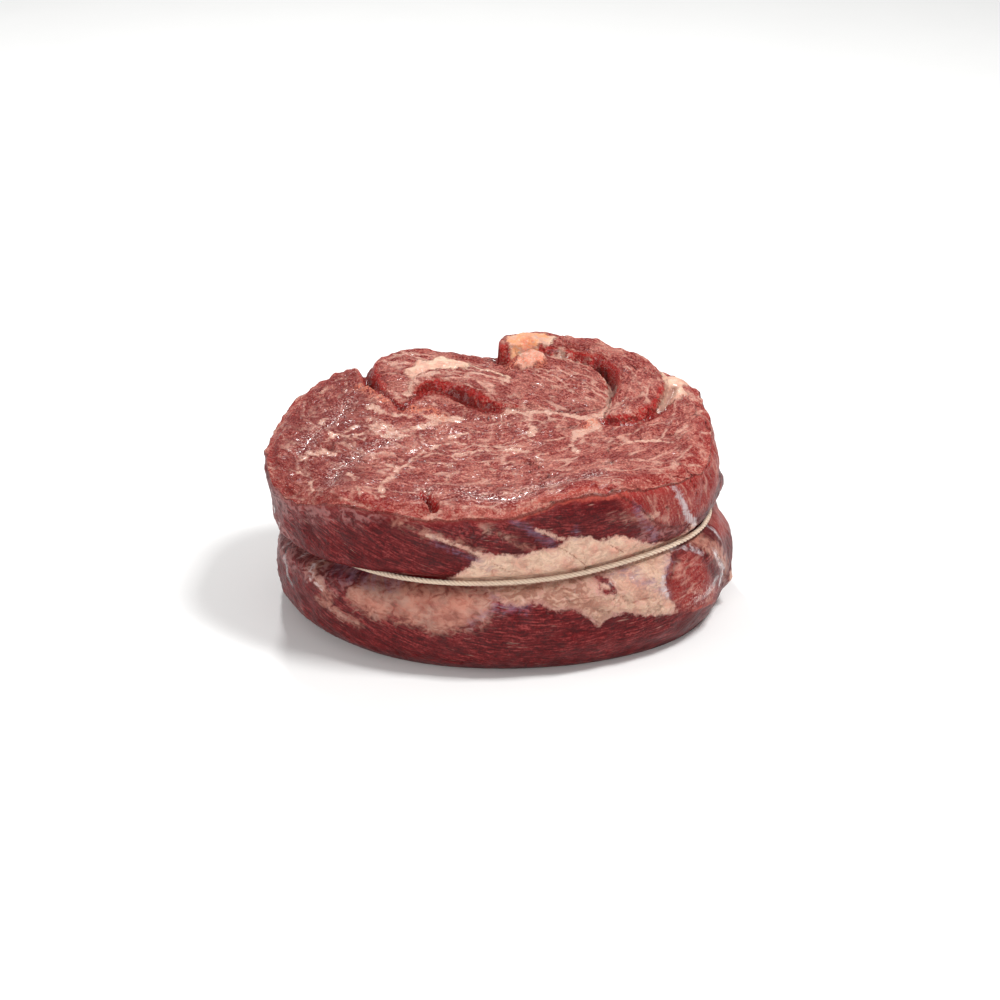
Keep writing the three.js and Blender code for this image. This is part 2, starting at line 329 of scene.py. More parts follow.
@dataclass(frozen=True)
class Side:
    """How the side swells out between the string and one end."""

    full: Oval  # where the side is widest
    end: Oval
    peak: float  # how far from the string it is widest, as a share
    slack: float  # how much narrower it would be at the string, with no string
    roundness: float  # how late it turns in towards its end
    calm: float  # how much of the relief is gone at its end

    def free_radius(self, angle: Array, share: Array, relief: Array) -> Array:
        """The radius that the side would have with no string.

        Args:
            angle: the places' angles.
            share: how far they are from the string to the side's end, from 0 to 1.
            relief: how far swells push the side out there.

        Returns:
            The distance from the middle.
        """
        swelling = np.where(
            share < self.peak,
            1 - self.slack * ((self.peak - share) / self.peak) ** 2,
            1 - np.clip((share - self.peak) / (1 - self.peak), 0, 1) ** self.roundness,
        )
        end = self.end.radius(angle)
        return end + (self.full.radius(angle) - end) * swelling + relief * (1 - self.calm * share**4)


@dataclass(frozen=True)
class Fold:
    """Meat that stands out of the cut face: an outline and the heights of its top."""

    outline: Sequence[Point]
    heights: Sequence[tuple[float, float, float]]  # x, y and the top's height
    round: float = 5.0  # the rounding of its edge
    blur: float = 4.0  # how softly one height turns into the next
    nowhere: float = -1e3

    def height(self, x: Array, y: Array) -> Array:
        """The fold's top.

        Args:
            x: the places' x.
            y: the places' y.

        Returns:
            Its height over each place, or nowhere outside its outline.
        """
        steps = steps_along(self.outline, closed=True)
        inside = is_inside(steps, x, y)
        total, weights = 0.0, 0.0
        for hx, hy, height in self.heights:
            weight = ((x - hx) ** 2 + (y - hy) ** 2 + self.blur**2) ** -1.5
            total, weights = total + weight * height, weights + weight
        short = np.clip(self.round - distance_to(steps, x, y), 0, None) / self.round
        top = total / weights - self.round * (1 - np.sqrt(np.clip(1 - short * short, 0, 1)))
        return np.where(inside, top, self.nowhere)


@dataclass(frozen=True)
class Cleft:
    """A crease in the cut face, along a smooth line."""

    along: Sequence[Point]
    depth: float
    width: float

    def bite(self, x: Array, y: Array) -> Array:
        """From 0 outside the cleft to 1 on its line."""
        steps = steps_along(self.along, closed=False, count=8)
        return bell(distance_to(steps, x, y) / (self.width / 2))


TONGUE = Fold(
    outline=(
        (-57, 60), (-56, 46), (-49, 32), (-42.5, 23.5), (-38, 30), (-30, 36.5), (-22, 33.5),
        (-10, 23), (2, 17.3), (17, 12), (34, 9), (45, 15), (47.5, 36), (41, 54), (26, 64),
        (2, 66), (-10, 71.5), (-24, 78), (-44, 77),
    ),
    heights=(
        (-50, 60, 85.5), (-51, 46, 84), (-43, 28, 80.5), (-30, 38, 86.6), (-14, 31, 86.4),
        (4, 20, 82.6), (24, 12, 81.2), (44, 20, 82.5), (42, 46, 85.5), (18, 58, 87),
        (-3, 60, 82.5), (-24, 62, 87.3), (-22, 75, 84), (-41, 68, 87.6),
    ),
)
BAND = Fold(
    outline=(
        (0, 62), (0, 72), (8, 79.5), (30, 80), (54, 70), (68, 54), (73, 36), (68, 16),
        (58, 5), (45.5, 3), (48, 20), (50, 36), (44, 52), (32, 59), (14, 61),
    ),
    heights=(
        (4, 67, 93), (22, 72, 94.5), (22, 63, 92.8), (40, 67, 92.8), (38, 58, 91.3),
        (55, 60, 89.2), (50, 46, 88.8), (66, 44, 86.8), (54, 30, 87), (62, 14, 84.4), (50, 6, 83),
    ),
)
CLEFTS = (
    Cleft(((-62, 76), (-59.5, 62), (-57.5, 50), (-56, 45)), 6, 4.4),
    Cleft(((-56, 45), (-53.5, 38), (-47, 27), (-42.5, 21.5)), 2, 2.6),
    Cleft(((-42.5, 21.5), (-37, 28), (-30.5, 33.5), (-23, 31.5), (-10, 20.5), (-1, 16)), 2, 4),
    Cleft(((43, 54), (49, 42), (49, 30), (47.5, 20)), 2.5, 4),
    Cleft(((44, 1.5), (52, 0), (62, 5), (70, 15), (75, 30)), 2.5, 4.5),
    Cleft(((-31, -57), (-28.5, -63), (-26.5, -67.5)), 6, 3.4),
)


@dataclass(frozen=True)
class Form:
    """The joint's whole form, without the fine relief of its flesh."""

    upper: Side = Side(Oval(97.5, 93, 77.5, 80), RIM, 0.5, 0.18, 2.6, 0.6)
    lower: Side = Side(BELLY, Oval(89, 91, 76.5, 70), 0.55, 0.3, 2.8, 0.8)
    string_level: float = 40.2
    string_rise: Point = (3.4, 1.9)  # to the right, to the back
    string_hump: tuple[float, float, float] = (-42, 22, 2)  # angle, reach, lift
    groove_seat: float = 1.65
    groove_mouths: Point = (2.0, 3.4)  # above the string, below it
    groove_at_sides: float = 2.5
    groove_steepness: float = 1.2
    knot_angle: float = 90
    knot_dent: Point = (4.5, 6.5)  # depth, reach in degrees
    face_height: float = 76
    face_rise: Point = (0.03, 0.075)  # to the right, to the back
    face_uneven: float = 0.9
    ragged_by: float = 0.8
    ragged_reach: float = 6.5
    raggedness: Noise = field(default_factory=lambda: Noise(5))
    rim_start: float = 0.9
    rim_drop: float = 3.5
    face_swells: Sequence[tuple[float, float, float, float]] = (  # x, y, reach, lift
        (-88, -46, 32, -8), (50, -66, 26, 4), (-100, 22, 20, -3), (-64, 62, 20, 3.5),
        (30, 4, 34, 3), (94, -34, 16, -4), (0, 24, 30, 1.2), (84, 34, 20, 3.5),
        (-51, 31, 12, 3), (-29, 26, 13, 2.6), (-66, -50, 18, 4.5), (30, -72, 19, 5.5),
    )
    lumps: Sequence[tuple[float, float, float, float]] = (  # x, y, reach, lift
        (8, 57, 4.2, 3.5), (15.5, 55.5, 4, 3.2), (7, 50.5, 3.4, 2.6), (13.5, 50.5, 3, 2),
        (84, -2, 5, 1.2), (66, -2, 4, 1.3), (76, 2, 4, 1.2),
    )
    side_swells: Sequence[tuple[float, float, float, float, float]] = (  # angle, z, reaches, lift
        (-117, 66, 7, 5, 3.2), (-58, 70, 26, 7, 2.5), (-28, 22, 10, 10, 2.5), (4, 50, 9, 6, 4.5),
        (3, 20, 14, 13, 4.6), (4, 38, 8, 5, -3), (-6, 11, 2.6, 3.6, 3), (184, 69, 28, 10, 6.5),
        (130, 68, 3.5, 15, -4), (91, 84, 4, 12, -3.5), (110, 60, 15, 11, 2.2),
        (48, 22, 17, 12, 2.2), (150, 24, 18, 10, -2), (-134, 43, 20, 6, 1.5),
        (-138, 72, 14, 8, -5),
    )
    shut_at: Point = (-150, 32)  # where the meat closes over the string: angle, reach
    shut_by: tuple[float, float, float] = (0.65, 0.5, 0.3)  # shares of both mouths, how far down
    foot_tuck: tuple[float, float, float] = (-150, 26, 4.5)  # angle, reach, depth

    def level(self, angle: Array) -> Array:
        """The string's height round the joint.

        Args:
            angle: angles round the joint.

        Returns:
            The height of the string's middle at each of them.
        """
        at, reach, lift = self.string_hump
        right, back = self.string_rise
        slope = right * np.cos(angle * DEGREE) + back * np.sin(angle * DEGREE)
        return self.string_level + slope + lift * bell(turn(angle, at) / reach)

    def shut(self, angle: Array) -> Array:
        """How far the meat above the string closes over it, from 0 to 1."""
        at, reach = self.shut_at
        return bell(turn(angle, at) / reach)

    def seat(self, angle: Array, out: int) -> Array:
        """How far the groove's flat floor reaches from the string.

        Args:
            angle: angles round the joint.
            out: 1 for its reach up, -1 for its reach down.

        Returns:
            The reach at each angle.
        """
        depth, reach = self.knot_dent
        lower = self.shut_by[2] * self.shut(angle) if out > 0 else 0
        return self.groove_seat - lower + depth * bell(turn(angle, self.knot_angle) / reach)

    def relief(self, angle: Array, z: Array) -> Array:
        """How far swells and unevenness push the side out.

        Args:
            angle: the places' angles.
            z: their heights.

        Returns:
            The push at each place.
        """
        radius = BELLY.radius(angle)
        total = unevenness(radius * np.cos(angle * DEGREE), radius * np.sin(angle * DEGREE), z)
        for at, height, wide, high, lift in self.side_swells:
            total = total + lift * bell(turn(angle, at) / wide, (z - height) / high)
        return total

    def side_radius(self, side: Side, angle: Array, z: Array, share: Array, gap: Array) -> Array:
        """The side's radius, where the string's groove is pressed into it.

        Args:
            side: the upper or the lower side.
            angle: the places' angles.
            z: their heights.
            share: how far they are from the groove's floor to the side's end, from 0 to 1.
            gap: their distance above or below the groove's floor.

        Returns:
            The distance from the middle.
        """
        free = side.free_radius(angle, share, self.relief(angle, z))
        floor = WAIST.radius(angle)
        above = side is self.upper
        wide = self.groove_mouths[0 if above else 1]
        mouth = wide + (self.groove_at_sides - wide) * np.cos(angle * DEGREE) ** 4
        mouth = mouth * (1 - self.shut_by[0 if above else 1] * self.shut(angle))
        if not above:
            at, reach, depth = self.foot_tuck
            free = free - depth * bell(turn(angle, at) / reach) * share**1.5
        return floor + (free - floor) * (1 - np.exp(-((gap / mouth) ** self.groove_steepness)))

    def rim_radius(self, angle: Array) -> Array:
        """The radius of the cut face's rim."""
        relief = self.relief(angle, self.face_height - self.rim_drop)
        return RIM.radius(angle) + (1 - self.upper.calm) * relief

    def face(self, x: Array, y: Array, share: Array) -> Array:
        """The cut face's height.

        Args:
            x: the places' x.
            y: the places' y.
            share: how far out they are, where 1 is the rim.

        Returns:
            The height of each place.
        """
        right, back = self.face_rise
        z = self.face_height + back * y + right * x
        z = z + self.face_uneven * unevenness(x, y, self.face_height / 2)
        level = np.stack([x, y, 0 * x], -1)
        x, y = (
            straight + self.ragged_by * self.raggedness.octaves((level + layer) / self.ragged_reach, 2)
            for straight, layer in ((x, (0, 0, 0)), (y, (0, 0, 40)))
        )
        for sx, sy, reach, lift in self.face_swells:
            z = z + lift * bell((x - sx) / reach, (y - sy) / reach)
        for fold in (TONGUE, BAND):
            z = np.maximum(z, fold.height(x, y))
        for cleft in CLEFTS:
            z = z - cleft.depth * cleft.bite(x, y)
        for lx, ly, reach, lift in self.lumps:
            z = z + lift * bell((x - lx) / reach, (y - ly) / reach)
        return z - self.rim_drop * smooth((share - self.rim_start) / (1 - self.rim_start)) ** 2


# ------------------------------------------------------------------------ patches of tissue

FAT = (
    # on the tongue
    Patch(FACE, (
        (-42, 47), (-38, 51), (-36, 57), (-31, 56), (-27, 59), (-20, 56), (-13, 54), (-16, 48),
        (-22, 47), (-28, 45), (-33, 42), (-38, 39), (-40, 42),
    )),
    Patch(FACE, ((-14, 55), (-8, 51.5), (-2, 46), (4, 40)), 0.9),
    # behind the band
    Patch(FACE, (
        (69, 43), (75, 46.5), (81, 46), (85, 40), (81, 34), (79.5, 28), (81, 23), (75, 20.5),
        (68, 13), (67, 15), (69, 20), (70.5, 26), (71, 34),
    )),
    # lumps of fat at the band's end
    Patch(FACE, (
        (3, 67), (9, 71), (17, 70), (25, 67), (22, 62), (17, 61), (20, 57), (18, 51), (11, 47),
        (6, 50), (8, 56), (4, 61),
    )),
    # the layer of fat at the front, above and below the string
    Patch(SIDE, (
        (-112, 36), (-106, 39.5), (-101, 45), (-96, 51), (-91, 52.5), (-84, 52), (-78, 54.5),
        (-73, 55), (-69, 58.5), (-63, 58), (-59, 56), (-55, 57), (-49, 53.5), (-45, 50), (-40, 48),
        (-35, 46), (-30, 48.5), (-26, 47), (-24, 43.5), (-29, 43), (-33, 41.5), (-37, 39.5),
        (-41, 36), (-42, 29), (-39, 21), (-34, 19), (-38, 17.5), (-44, 19), (-50, 21), (-55, 24),
        (-60, 22.5), (-62.5, 20.5), (-66, 25),
        (-70, 29), (-75, 29), (-79, 32), (-86, 31), (-92, 33.5), (-97, 36),
    )),
    Patch(SIDE, ((-79, 63), (-75, 60.5), (-71, 58)), 0.9),
    Patch(SIDE, ((-112, 59.5), (-106, 57.5), (-101, 55), (-96, 52.5), (-90, 51)), 0.9),
    Patch(SIDE, ((-28, 50), (-25.5, 47.5), (-25, 45)), 1.6),
    Patch(SIDE, ((-140, 20.5), (-137, 18.5), (-134, 17.5)), 0.9),
    Patch(SIDE, ((-6, 13), (-6, 9)), 2.6),
    # the right side and the back
    Patch(SIDE, (
        (14, 31), (20, 40), (29, 46), (40, 49), (50, 46), (60, 49), (72, 46), (84, 40), (80, 33),
        (68, 31), (57, 33), (46, 27), (36, 29), (26, 23), (17, 25),
    )),
    Patch(SIDE, ((129, 72), (131, 64), (128, 56)), 0.5),
    Patch(SIDE, ((91, 84), (92, 75), (89, 66), (92, 57)), 0.6),
    Patch(SIDE, ((158, 60), (148, 56), (138, 57), (128, 52)), 0.5),
)
THIN = (  # fat so thin that it is pink or grey
    # the seams of the cut face
    Patch(FACE, ((-56, 23), (-51, 18.5), (-47, 16), (-40, 15), (-34, 14), (-28, 12)), 0.9),
    Patch(FACE, ((-31, 12), (-27, 11), (-23, 9.5), (-19, 10)), 2.4),
    Patch(FACE, ((-22, 9), (-29, 6.5), (-36, 5), (-43, 2), (-50, -1)), 1.1),
    Patch(FACE, ((3, 15), (9, 10.5), (18, 10.5), (27, 7), (36, 3.5), (42, -2)), 1.2),
    Patch(FACE, ((4, 14), (8, 11), (13, 10)), 1.9),
    Patch(FACE, ((32, 5), (38, 1), (41, -2), (39, -6), (33, -10)), 2.3),
    Patch(FACE, ((33, -10), (31, -14), (30, -19), (33, -26)), 0.9),
    Patch(FACE, ((10, 9), (13, 4), (12, 0), (14, -5), (13, -11)), 1.1),
    Patch(FACE, ((38, 2), (44, 8), (46.5, 17), (47, 26), (48, 34), (45, 46)), 1.5),
    Patch(FACE, ((45, 46), (40, 53), (32, 57.5), (22, 59)), 1.1),
    Patch(FACE, ((-60, 12), (-53, 7), (-46, 5)), 0.7),
    Patch(FACE, ((-62, -2), (-57, 4), (-50, 8)), 0.8),
    Patch(FACE, ((-43, 27), (-41, 31), (-38, 36), (-33, 40), (-26, 41)), 0.7),
    Patch(FACE, ((-30, 42), (-20, 45), (-10, 43), (4, 36)), 0.6),
    Patch(FACE, ((-80, 8), (-72, 2), (-64, 0), (-58, -4)), 0.6),
    Patch(FACE, ((-84, -16), (-76, -12), (-70, -14)), 0.6),
    Patch(FACE, ((-20, -24), (-8, -20), (6, -22), (20, -26)), 0.6),
    Patch(FACE, ((-48, -26), (-44, -34), (-46, -42)), 0.6),
    Patch(FACE, ((50, -18), (60, -14), (72, -16)), 0.6),
    # veins of marbling
    Patch(FACE, ((-74, -3), (-69, 2), (-65, 5), (-60, 11), (-55, 14)), 0.45),
    Patch(FACE, ((-85, -14), (-81, -12), (-75, -10), (-72, -11)), 0.5),
    Patch(FACE, ((-76, -5), (-78, -17), (-79, -27), (-79, -41)), 0.35),
    Patch(FACE, ((-61, -1), (-57, 4), (-53, 9), (-49, 8), (-43, 0), (-39, -2)), 0.45),
    Patch(FACE, ((-43, -2), (-41, 2), (-37, 4), (-33, 4)), 0.9),
    Patch(FACE, ((-45, -32), (-41, -32), (-37, -24), (-34, -19), (-31, -18)), 0.5),
    Patch(FACE, ((-30, -18), (-26, -13), (-20, -12), (-10, -16), (0, -18)), 0.45),
    Patch(FACE, ((-21, -6), (-18, -5), (-14, -4)), 0.6),
    Patch(FACE, ((-46, -40), (-49, -51), (-48, -59)), 0.4),
    Patch(FACE, ((-64, -31), (-61, -38), (-60, -46), (-58, -55)), 0.45),
    Patch(FACE, ((-85, -25), (-81, -22), (-79, -23)), 0.5),
    Patch(FACE, ((-77, 12), (-76, 17), (-73, 18)), 0.7),
    Patch(FACE, ((-78, 42), (-75, 45)), 1.3),
    # the left side, below the string
    Patch(SIDE, ((-121, 64), (-114, 60.5), (-104, 57.5), (-96, 53)), 1.2),
    Patch(SIDE, ((-96, 64), (-89, 60.5), (-84, 57), (-80, 54)), 0.35),
    Patch(SIDE, ((-143, 22), (-137, 19), (-131, 17)), 1.6),
    Patch(SIDE, (
        (-134, 34), (-123, 36), (-112, 36), (-100, 37), (-92, 36), (-92, 28), (-97, 23),
        (-102, 21), (-108, 19), (-113, 21), (-119, 21.5), (-127, 22), (-134, 26),
    )),
    Patch(SIDE, ((-150, 33), (-144, 28), (-140, 25)), 2.0),
    Patch(SIDE, (
        (-28, 44), (-25, 38), (-22, 32), (-18, 26), (-14, 19), (-10, 14), (-9, 20), (-13, 29),
        (-17, 37), (-21, 43),
    )),
    Patch(SIDE, (
        (172, 31), (163, 34), (152, 33), (142, 35), (131, 33), (126, 26), (134, 19), (143, 21),
        (153, 15), (164, 18), (170, 24),
    )),
    Patch(SIDE, ((108, 14), (98, 17), (86, 15), (74, 18)), 1.2),
    Patch(SIDE, ((-57, 66), (-50, 63), (-42, 62)), 0.7),
)
LEAN = (  # muscle that shows through the layer of fat
    Patch(SIDE, (
        (-39, 33), (-37, 37.5), (-33, 39), (-29, 37.5), (-26, 31), (-22, 22), (-17, 13), (-28, 12),
        (-38, 17), (-40, 26),
    )),
    Patch(SIDE, ((-60, 38), (-58, 37), (-57, 35)), 0.8),
    Patch(SIDE, ((-61, 34.5), (-57, 33.5)), 0.6),
    Patch(SIDE, ((-20, 47), (-17, 44), (-14, 38)), 2.4),
)
OPEN = (  # lean on the side that is cut or torn open, and as pale as the cut face
    Patch(SIDE, (
        (-40, 34), (-37, 38), (-32, 39), (-28, 36), (-26, 29), (-22, 20), (-17, 14), (-28, 15),
        (-38, 19), (-41, 26),
    )),
    Patch(SIDE, (
        (-54, 74), (-50, 64), (-42, 57), (-30, 53), (-18, 55), (-8, 60), (6, 62), (10, 74),
        (-20, 76), (-40, 76),
    )),
    Patch(SIDE, ((20, 66), (44, 70), (70, 70), (66, 60), (40, 60))),
    Patch(SIDE, ((-10, 37), (0, 35), (9, 29), (11, 18)), 4.5),
)
PLEATS = (  # where the fibres of the side run up and down
    Patch(SIDE, ((-54, 76), (-47, 66), (-42, 58), (-32, 52), (-20, 52), (-4, 60), (4, 76))),
    Patch(SIDE, ((-19, 42), (-8, 44), (10, 48), (14, 30), (6, 14), (-8, 14), (-15, 22))),
)
SILVER = (  # white silverskin, and painted white glints on the left lobe
    Patch(SIDE, ((-35.5, 72), (-34, 68), (-32, 61), (-29, 54), (-26.5, 49)), 1.6),
    Patch(SIDE, ((-42.5, 35), (-43, 31), (-42, 27)), 0.9),
    Patch(SIDE, ((-34, 42.5), (-30, 41), (-26, 37)), 0.7),
    Patch(SIDE, ((-20, 34), (-18, 28), (-14, 21)), 0.5),
    Patch(SIDE, ((-13, 45), (-14, 40), (-13, 34)), 0.7),
    # painted glints: the next three thin white streaks on the left lobe
    Patch(SIDE, ((-173, 47), (-169, 39), (-166, 31)), 0.2),
    Patch(SIDE, ((-163, 45), (-160, 38), (-157, 33)), 0.2),
    Patch(SIDE, ((-152, 36), (-148, 30), (-143, 27)), 0.3),
    Patch(SIDE, ((118, 28), (110, 31), (102, 30)), 0.7),
    Patch(SIDE, ((62, 72), (64, 64), (68, 56)), 0.9),
)
VIOLET = (  # bluish silverskin over dark muscle, with its bluish sheen painted in
    Patch(SIDE, ((-87, 69.5), (-83, 64.5), (-78, 60), (-74, 56.5)), 1.7),
    # painted blue glints beside the round muscle
    Patch(SIDE, ((-37, 40.5), (-41, 36.5), (-43, 31), (-42, 26)), 1.2),
    Patch(SIDE, ((-56, 41), (-52, 40), (-48, 38)), 1.6),
    Patch(SIDE, ((-110, 57), (-104, 53), (-98, 49.5), (-93, 46)), 1.0),
    Patch(SIDE, ((-67, 61), (-67, 57.5)), 1.3),
    Patch(SIDE, ((-49, 68), (-46, 60), (-43, 54), (-42, 50)), 1.5),
    Patch(SIDE, ((-50, 37), (-45, 33), (-43, 28)), 2.2),
    Patch(SIDE, ((-92, 33), (-88, 31), (-82, 30)), 1.0),
    Patch(SIDE, ((-147, 35), (-139, 34), (-130, 34), (-122, 34)), 1.4),
    Patch(SIDE, ((-98, 24), (-95, 28), (-91, 31)), 1.2),
    Patch(SIDE, ((30, 62), (38, 56), (46, 52)), 2.4),
)
FILM = (  # a thin greyish skin over the muscle
    Patch(SIDE, (
        (-176, 57), (-160, 64), (-145, 67), (-132, 68), (-124, 66), (-132, 60), (-146, 56), (-160, 50),
    )),
    Patch(SIDE, (
        (-192, 50), (-176, 52), (-160, 47), (-150, 38), (-140, 37), (-134, 31), (-140, 27),
        (-152, 27), (-166, 25), (-188, 26),
    )),
    Patch(SIDE, ((-48, 58), (-42, 57), (-36, 55), (-34, 50), (-42, 50), (-48, 52))),
    Patch(SIDE, ((-52, 38), (-44, 36), (-40, 28), (-44, 24), (-50, 26), (-56, 32))),
    Patch(SIDE, ((24, 70), (50, 74), (80, 72), (100, 66), (92, 54), (60, 56), (34, 58))),
    Patch(SIDE, ((100, 30), (120, 34), (140, 24), (126, 12), (104, 14))),
    Patch(FACE, (
        (-76, -56), (-92, -34), (-98, -6), (-94, 24), (-80, 50), (-66, 62), (-58, 40), (-54, 10),
        (-56, -20), (-58, -46),
    )),
)
CREASES = (  # long furrows in the fat
    Patch(SIDE, ((-75, 56), (-70, 52.5), (-64, 45), (-62, 41.5)), 0.3),
    Patch(SIDE, ((-57, 53), (-54, 50), (-52, 48)), 0.3),
    Patch(SIDE, ((-38, 42.5), (-36, 40), (-34, 42)), 0.3),
    Patch(SIDE, ((-92, 48), (-88, 45), (-84, 44)), 0.25),
    Patch(SIDE, ((-58, 31), (-52, 28), (-46, 29)), 0.25),
    Patch(SIDE, ((-72, 37), (-66, 34), (-62, 30)), 0.25),
)
LIP = (  # the ragged lips of the rim at the front right, and below the open muscle: torn red flesh, lightened as a painted highlight
    Patch(SIDE, ((-85, 67.5), (-76, 72), (-67, 74.5), (-58, 74.5), (-51, 74)), 1.1),
    Patch(FACE, ((5, -73), (13, -72), (25, -70.5), (36, -68)), 0.7),
    Patch(SIDE, ((-33, 16), (-27, 14), (-20, 12)), 0.8),
)
YELLOW = (  # the yellower fat of the lumps
    Patch(FACE, ((2, 66), (9, 71), (18, 71), (23, 67), (20, 63), (17, 58), (11, 58), (5, 60))),
)
ROSY = (  # moist pink bits
    Patch(FACE, ((-61, 42), (-57, 37), (-53, 31), (-49, 26)), 2.4),
    Patch(FACE, ((-42, 20), (-36, 19), (-30, 16), (-25, 12)), 2.6),
    Patch(FACE, ((6, 52), (12, 52), (17, 52)), 3.6),
    Patch(FACE, ((13, 56), (12, 63)), 2.6),
    Patch(FACE, ((40, 0), (37, -3)), 2.5),
)
GLOSSY = (  # creases and lobes that are wet enough to glint; on the cut face painted sparkle gathers round them too
    Patch(FACE, ((-44, -3), (-50, -8), (-58, -15), (-65, -22), (-69, -31), (-70, -41)), 0.9),
    Patch(FACE, ((-30, -54), (-33, -59)), 1.3),
    Patch(FACE, ((-66, 30), (-70, 18), (-78, 6), (-84, -10)), 0.5),
    Patch(FACE, ((-14, -56), (-4, -62), (4, -65), (11, -62)), 2.2),
    Patch(FACE, ((16, -58), (29, -57), (40, -52)), 2.6),
    Patch(SIDE, ((-168, 48), (-166, 38), (-163, 28), (-158, 20)), 1.5),
    Patch(SIDE, ((-32, 20), (-26, 20), (-20, 22)), 1.5),
    Patch(SIDE, ((-20, 34), (-17, 26), (-18, 18)), 1.8),
)
SOFT_EDGES = {  # millimetres over which a patch fades, and how much of it is left at its edge
    "open": (6, 0.5), "yellow": (4, 0.5), "rosy": (3, 0.5), "lip": (2.6, 0.6),
}


# -------------------------------------------------------------------------------- the meat


@dataclass
class Skin:
    """The joint's surface as it is put together: places, what they are like, and faces."""

    where: Where
    spots: Array  # rows of x, y and z
    angle: Array
    share: Array  # of the way to the rim or the end

    @property
    def flat(self) -> tuple[Array, Array]:
        """The two numbers that a patch measures places by.

        Returns:
            The places' x and y, or on the side their angles and heights.
        """
        if self.where is FACE:
            return self.spots[:, 0], self.spots[:, 1]
        return self.angle, self.spots[:, 2]


@dataclass(frozen=True)
class Fibres:
    """Which way the fibres of the muscle run."""

    roll_centre: Point = (0, 30)  # the outer muscle's fibres run round it
    roll_wider: float = 1.2  # to the right and left
    roll_reach: float = 75  # what turns an angle round it into a length
    tongue_across: Point = (0.6, 0.8)
    tongue_bend: float = 0.004
    tongue_layer: float = 40
    band_centre: Point = (18, 34)
    band_reach: float = 38
    band_layer: float = 100
    by_height: float = 1.2  # how much a fold's walls count as across the fibres
    side_layer: float = 300
    side_waves: Sequence[tuple[float, float, float]] = ((22, 1, 130), (-6, 2, 60))  # lift, waves, start
    pleats: tuple[float, float, float, float] = (1.6, 0.25, 0.7, 0.2)  # across, leaning, up, round

    def on_side(self, skin: Skin) -> Array:
        """Measures the side's places, where the fibres slant round the joint or run upright.

        Args:
            skin: the side's places.

        Returns:
            Millimetres across the fibres first, and then two along them.
        """
        z = skin.spots[:, 2]
        slant = sum(
            lift * np.sin(waves * (skin.angle + start) * DEGREE)
            for lift, waves, start in self.side_waves
        )
        c, s = SIDE_RADIUS * np.cos(skin.angle * DEGREE), SIDE_RADIUS * np.sin(skin.angle * DEGREE)
        level = np.stack([self.side_layer - z - slant, c, s], 1)
        across, leaning, up, around = self.pleats
        upright = np.stack([across * turn(skin.angle, 0) + leaning * z, up * z, around * s], 1)
        return np.where(deepest(PLEATS, skin.where, skin.angle, z)[:, None] > 0, upright, level)

    def on_face(self, skin: Skin) -> Array:
        """Measures the cut face's places, where each muscle has its own way.

        Args:
            skin: the cut face's places.

        Returns:
            Millimetres across the fibres first, and then two along them.
        """
        x, y, z = skin.spots.T
        cx, cy = self.roll_centre
        around = np.arctan2(y - cy, (x - cx) / self.roll_wider)
        across = np.hypot((x - cx) / self.roll_wider, y - cy)
        main = np.stack([across, self.roll_reach * np.cos(around), self.roll_reach * np.sin(around)], 1)
        rx, ry = self.tongue_across
        across = ry * y + rx * x + self.tongue_bend * x * x + self.by_height * z
        lean = np.stack([across, ry * x - rx * y, 0 * x + self.tongue_layer], 1)
        bx, by = self.band_centre
        around = np.arctan2(y - by, x - bx)
        across = self.band_layer + np.hypot(x - bx, y - by) + self.by_height * z
        curl = np.stack([across, self.band_reach * np.cos(around), self.band_reach * np.sin(around)], 1)
        in_tongue, in_band = ((fold.height(x, y) > 0)[:, None] for fold in (TONGUE, BAND))
        return np.where(in_band, curl, np.where(in_tongue, lean, main))


@dataclass(frozen=True)
class Relief:
    """How far the muscle's fine relief lifts one part of the skin, in millimetres."""

    fibres: float
    grains: float
    soft: float
    crack: float


RELIEFS = {FACE: Relief(0.50, 0.36, 0.50, 1.4), SIDE: Relief(0.28, 0.12, 0.65, 0.6)}


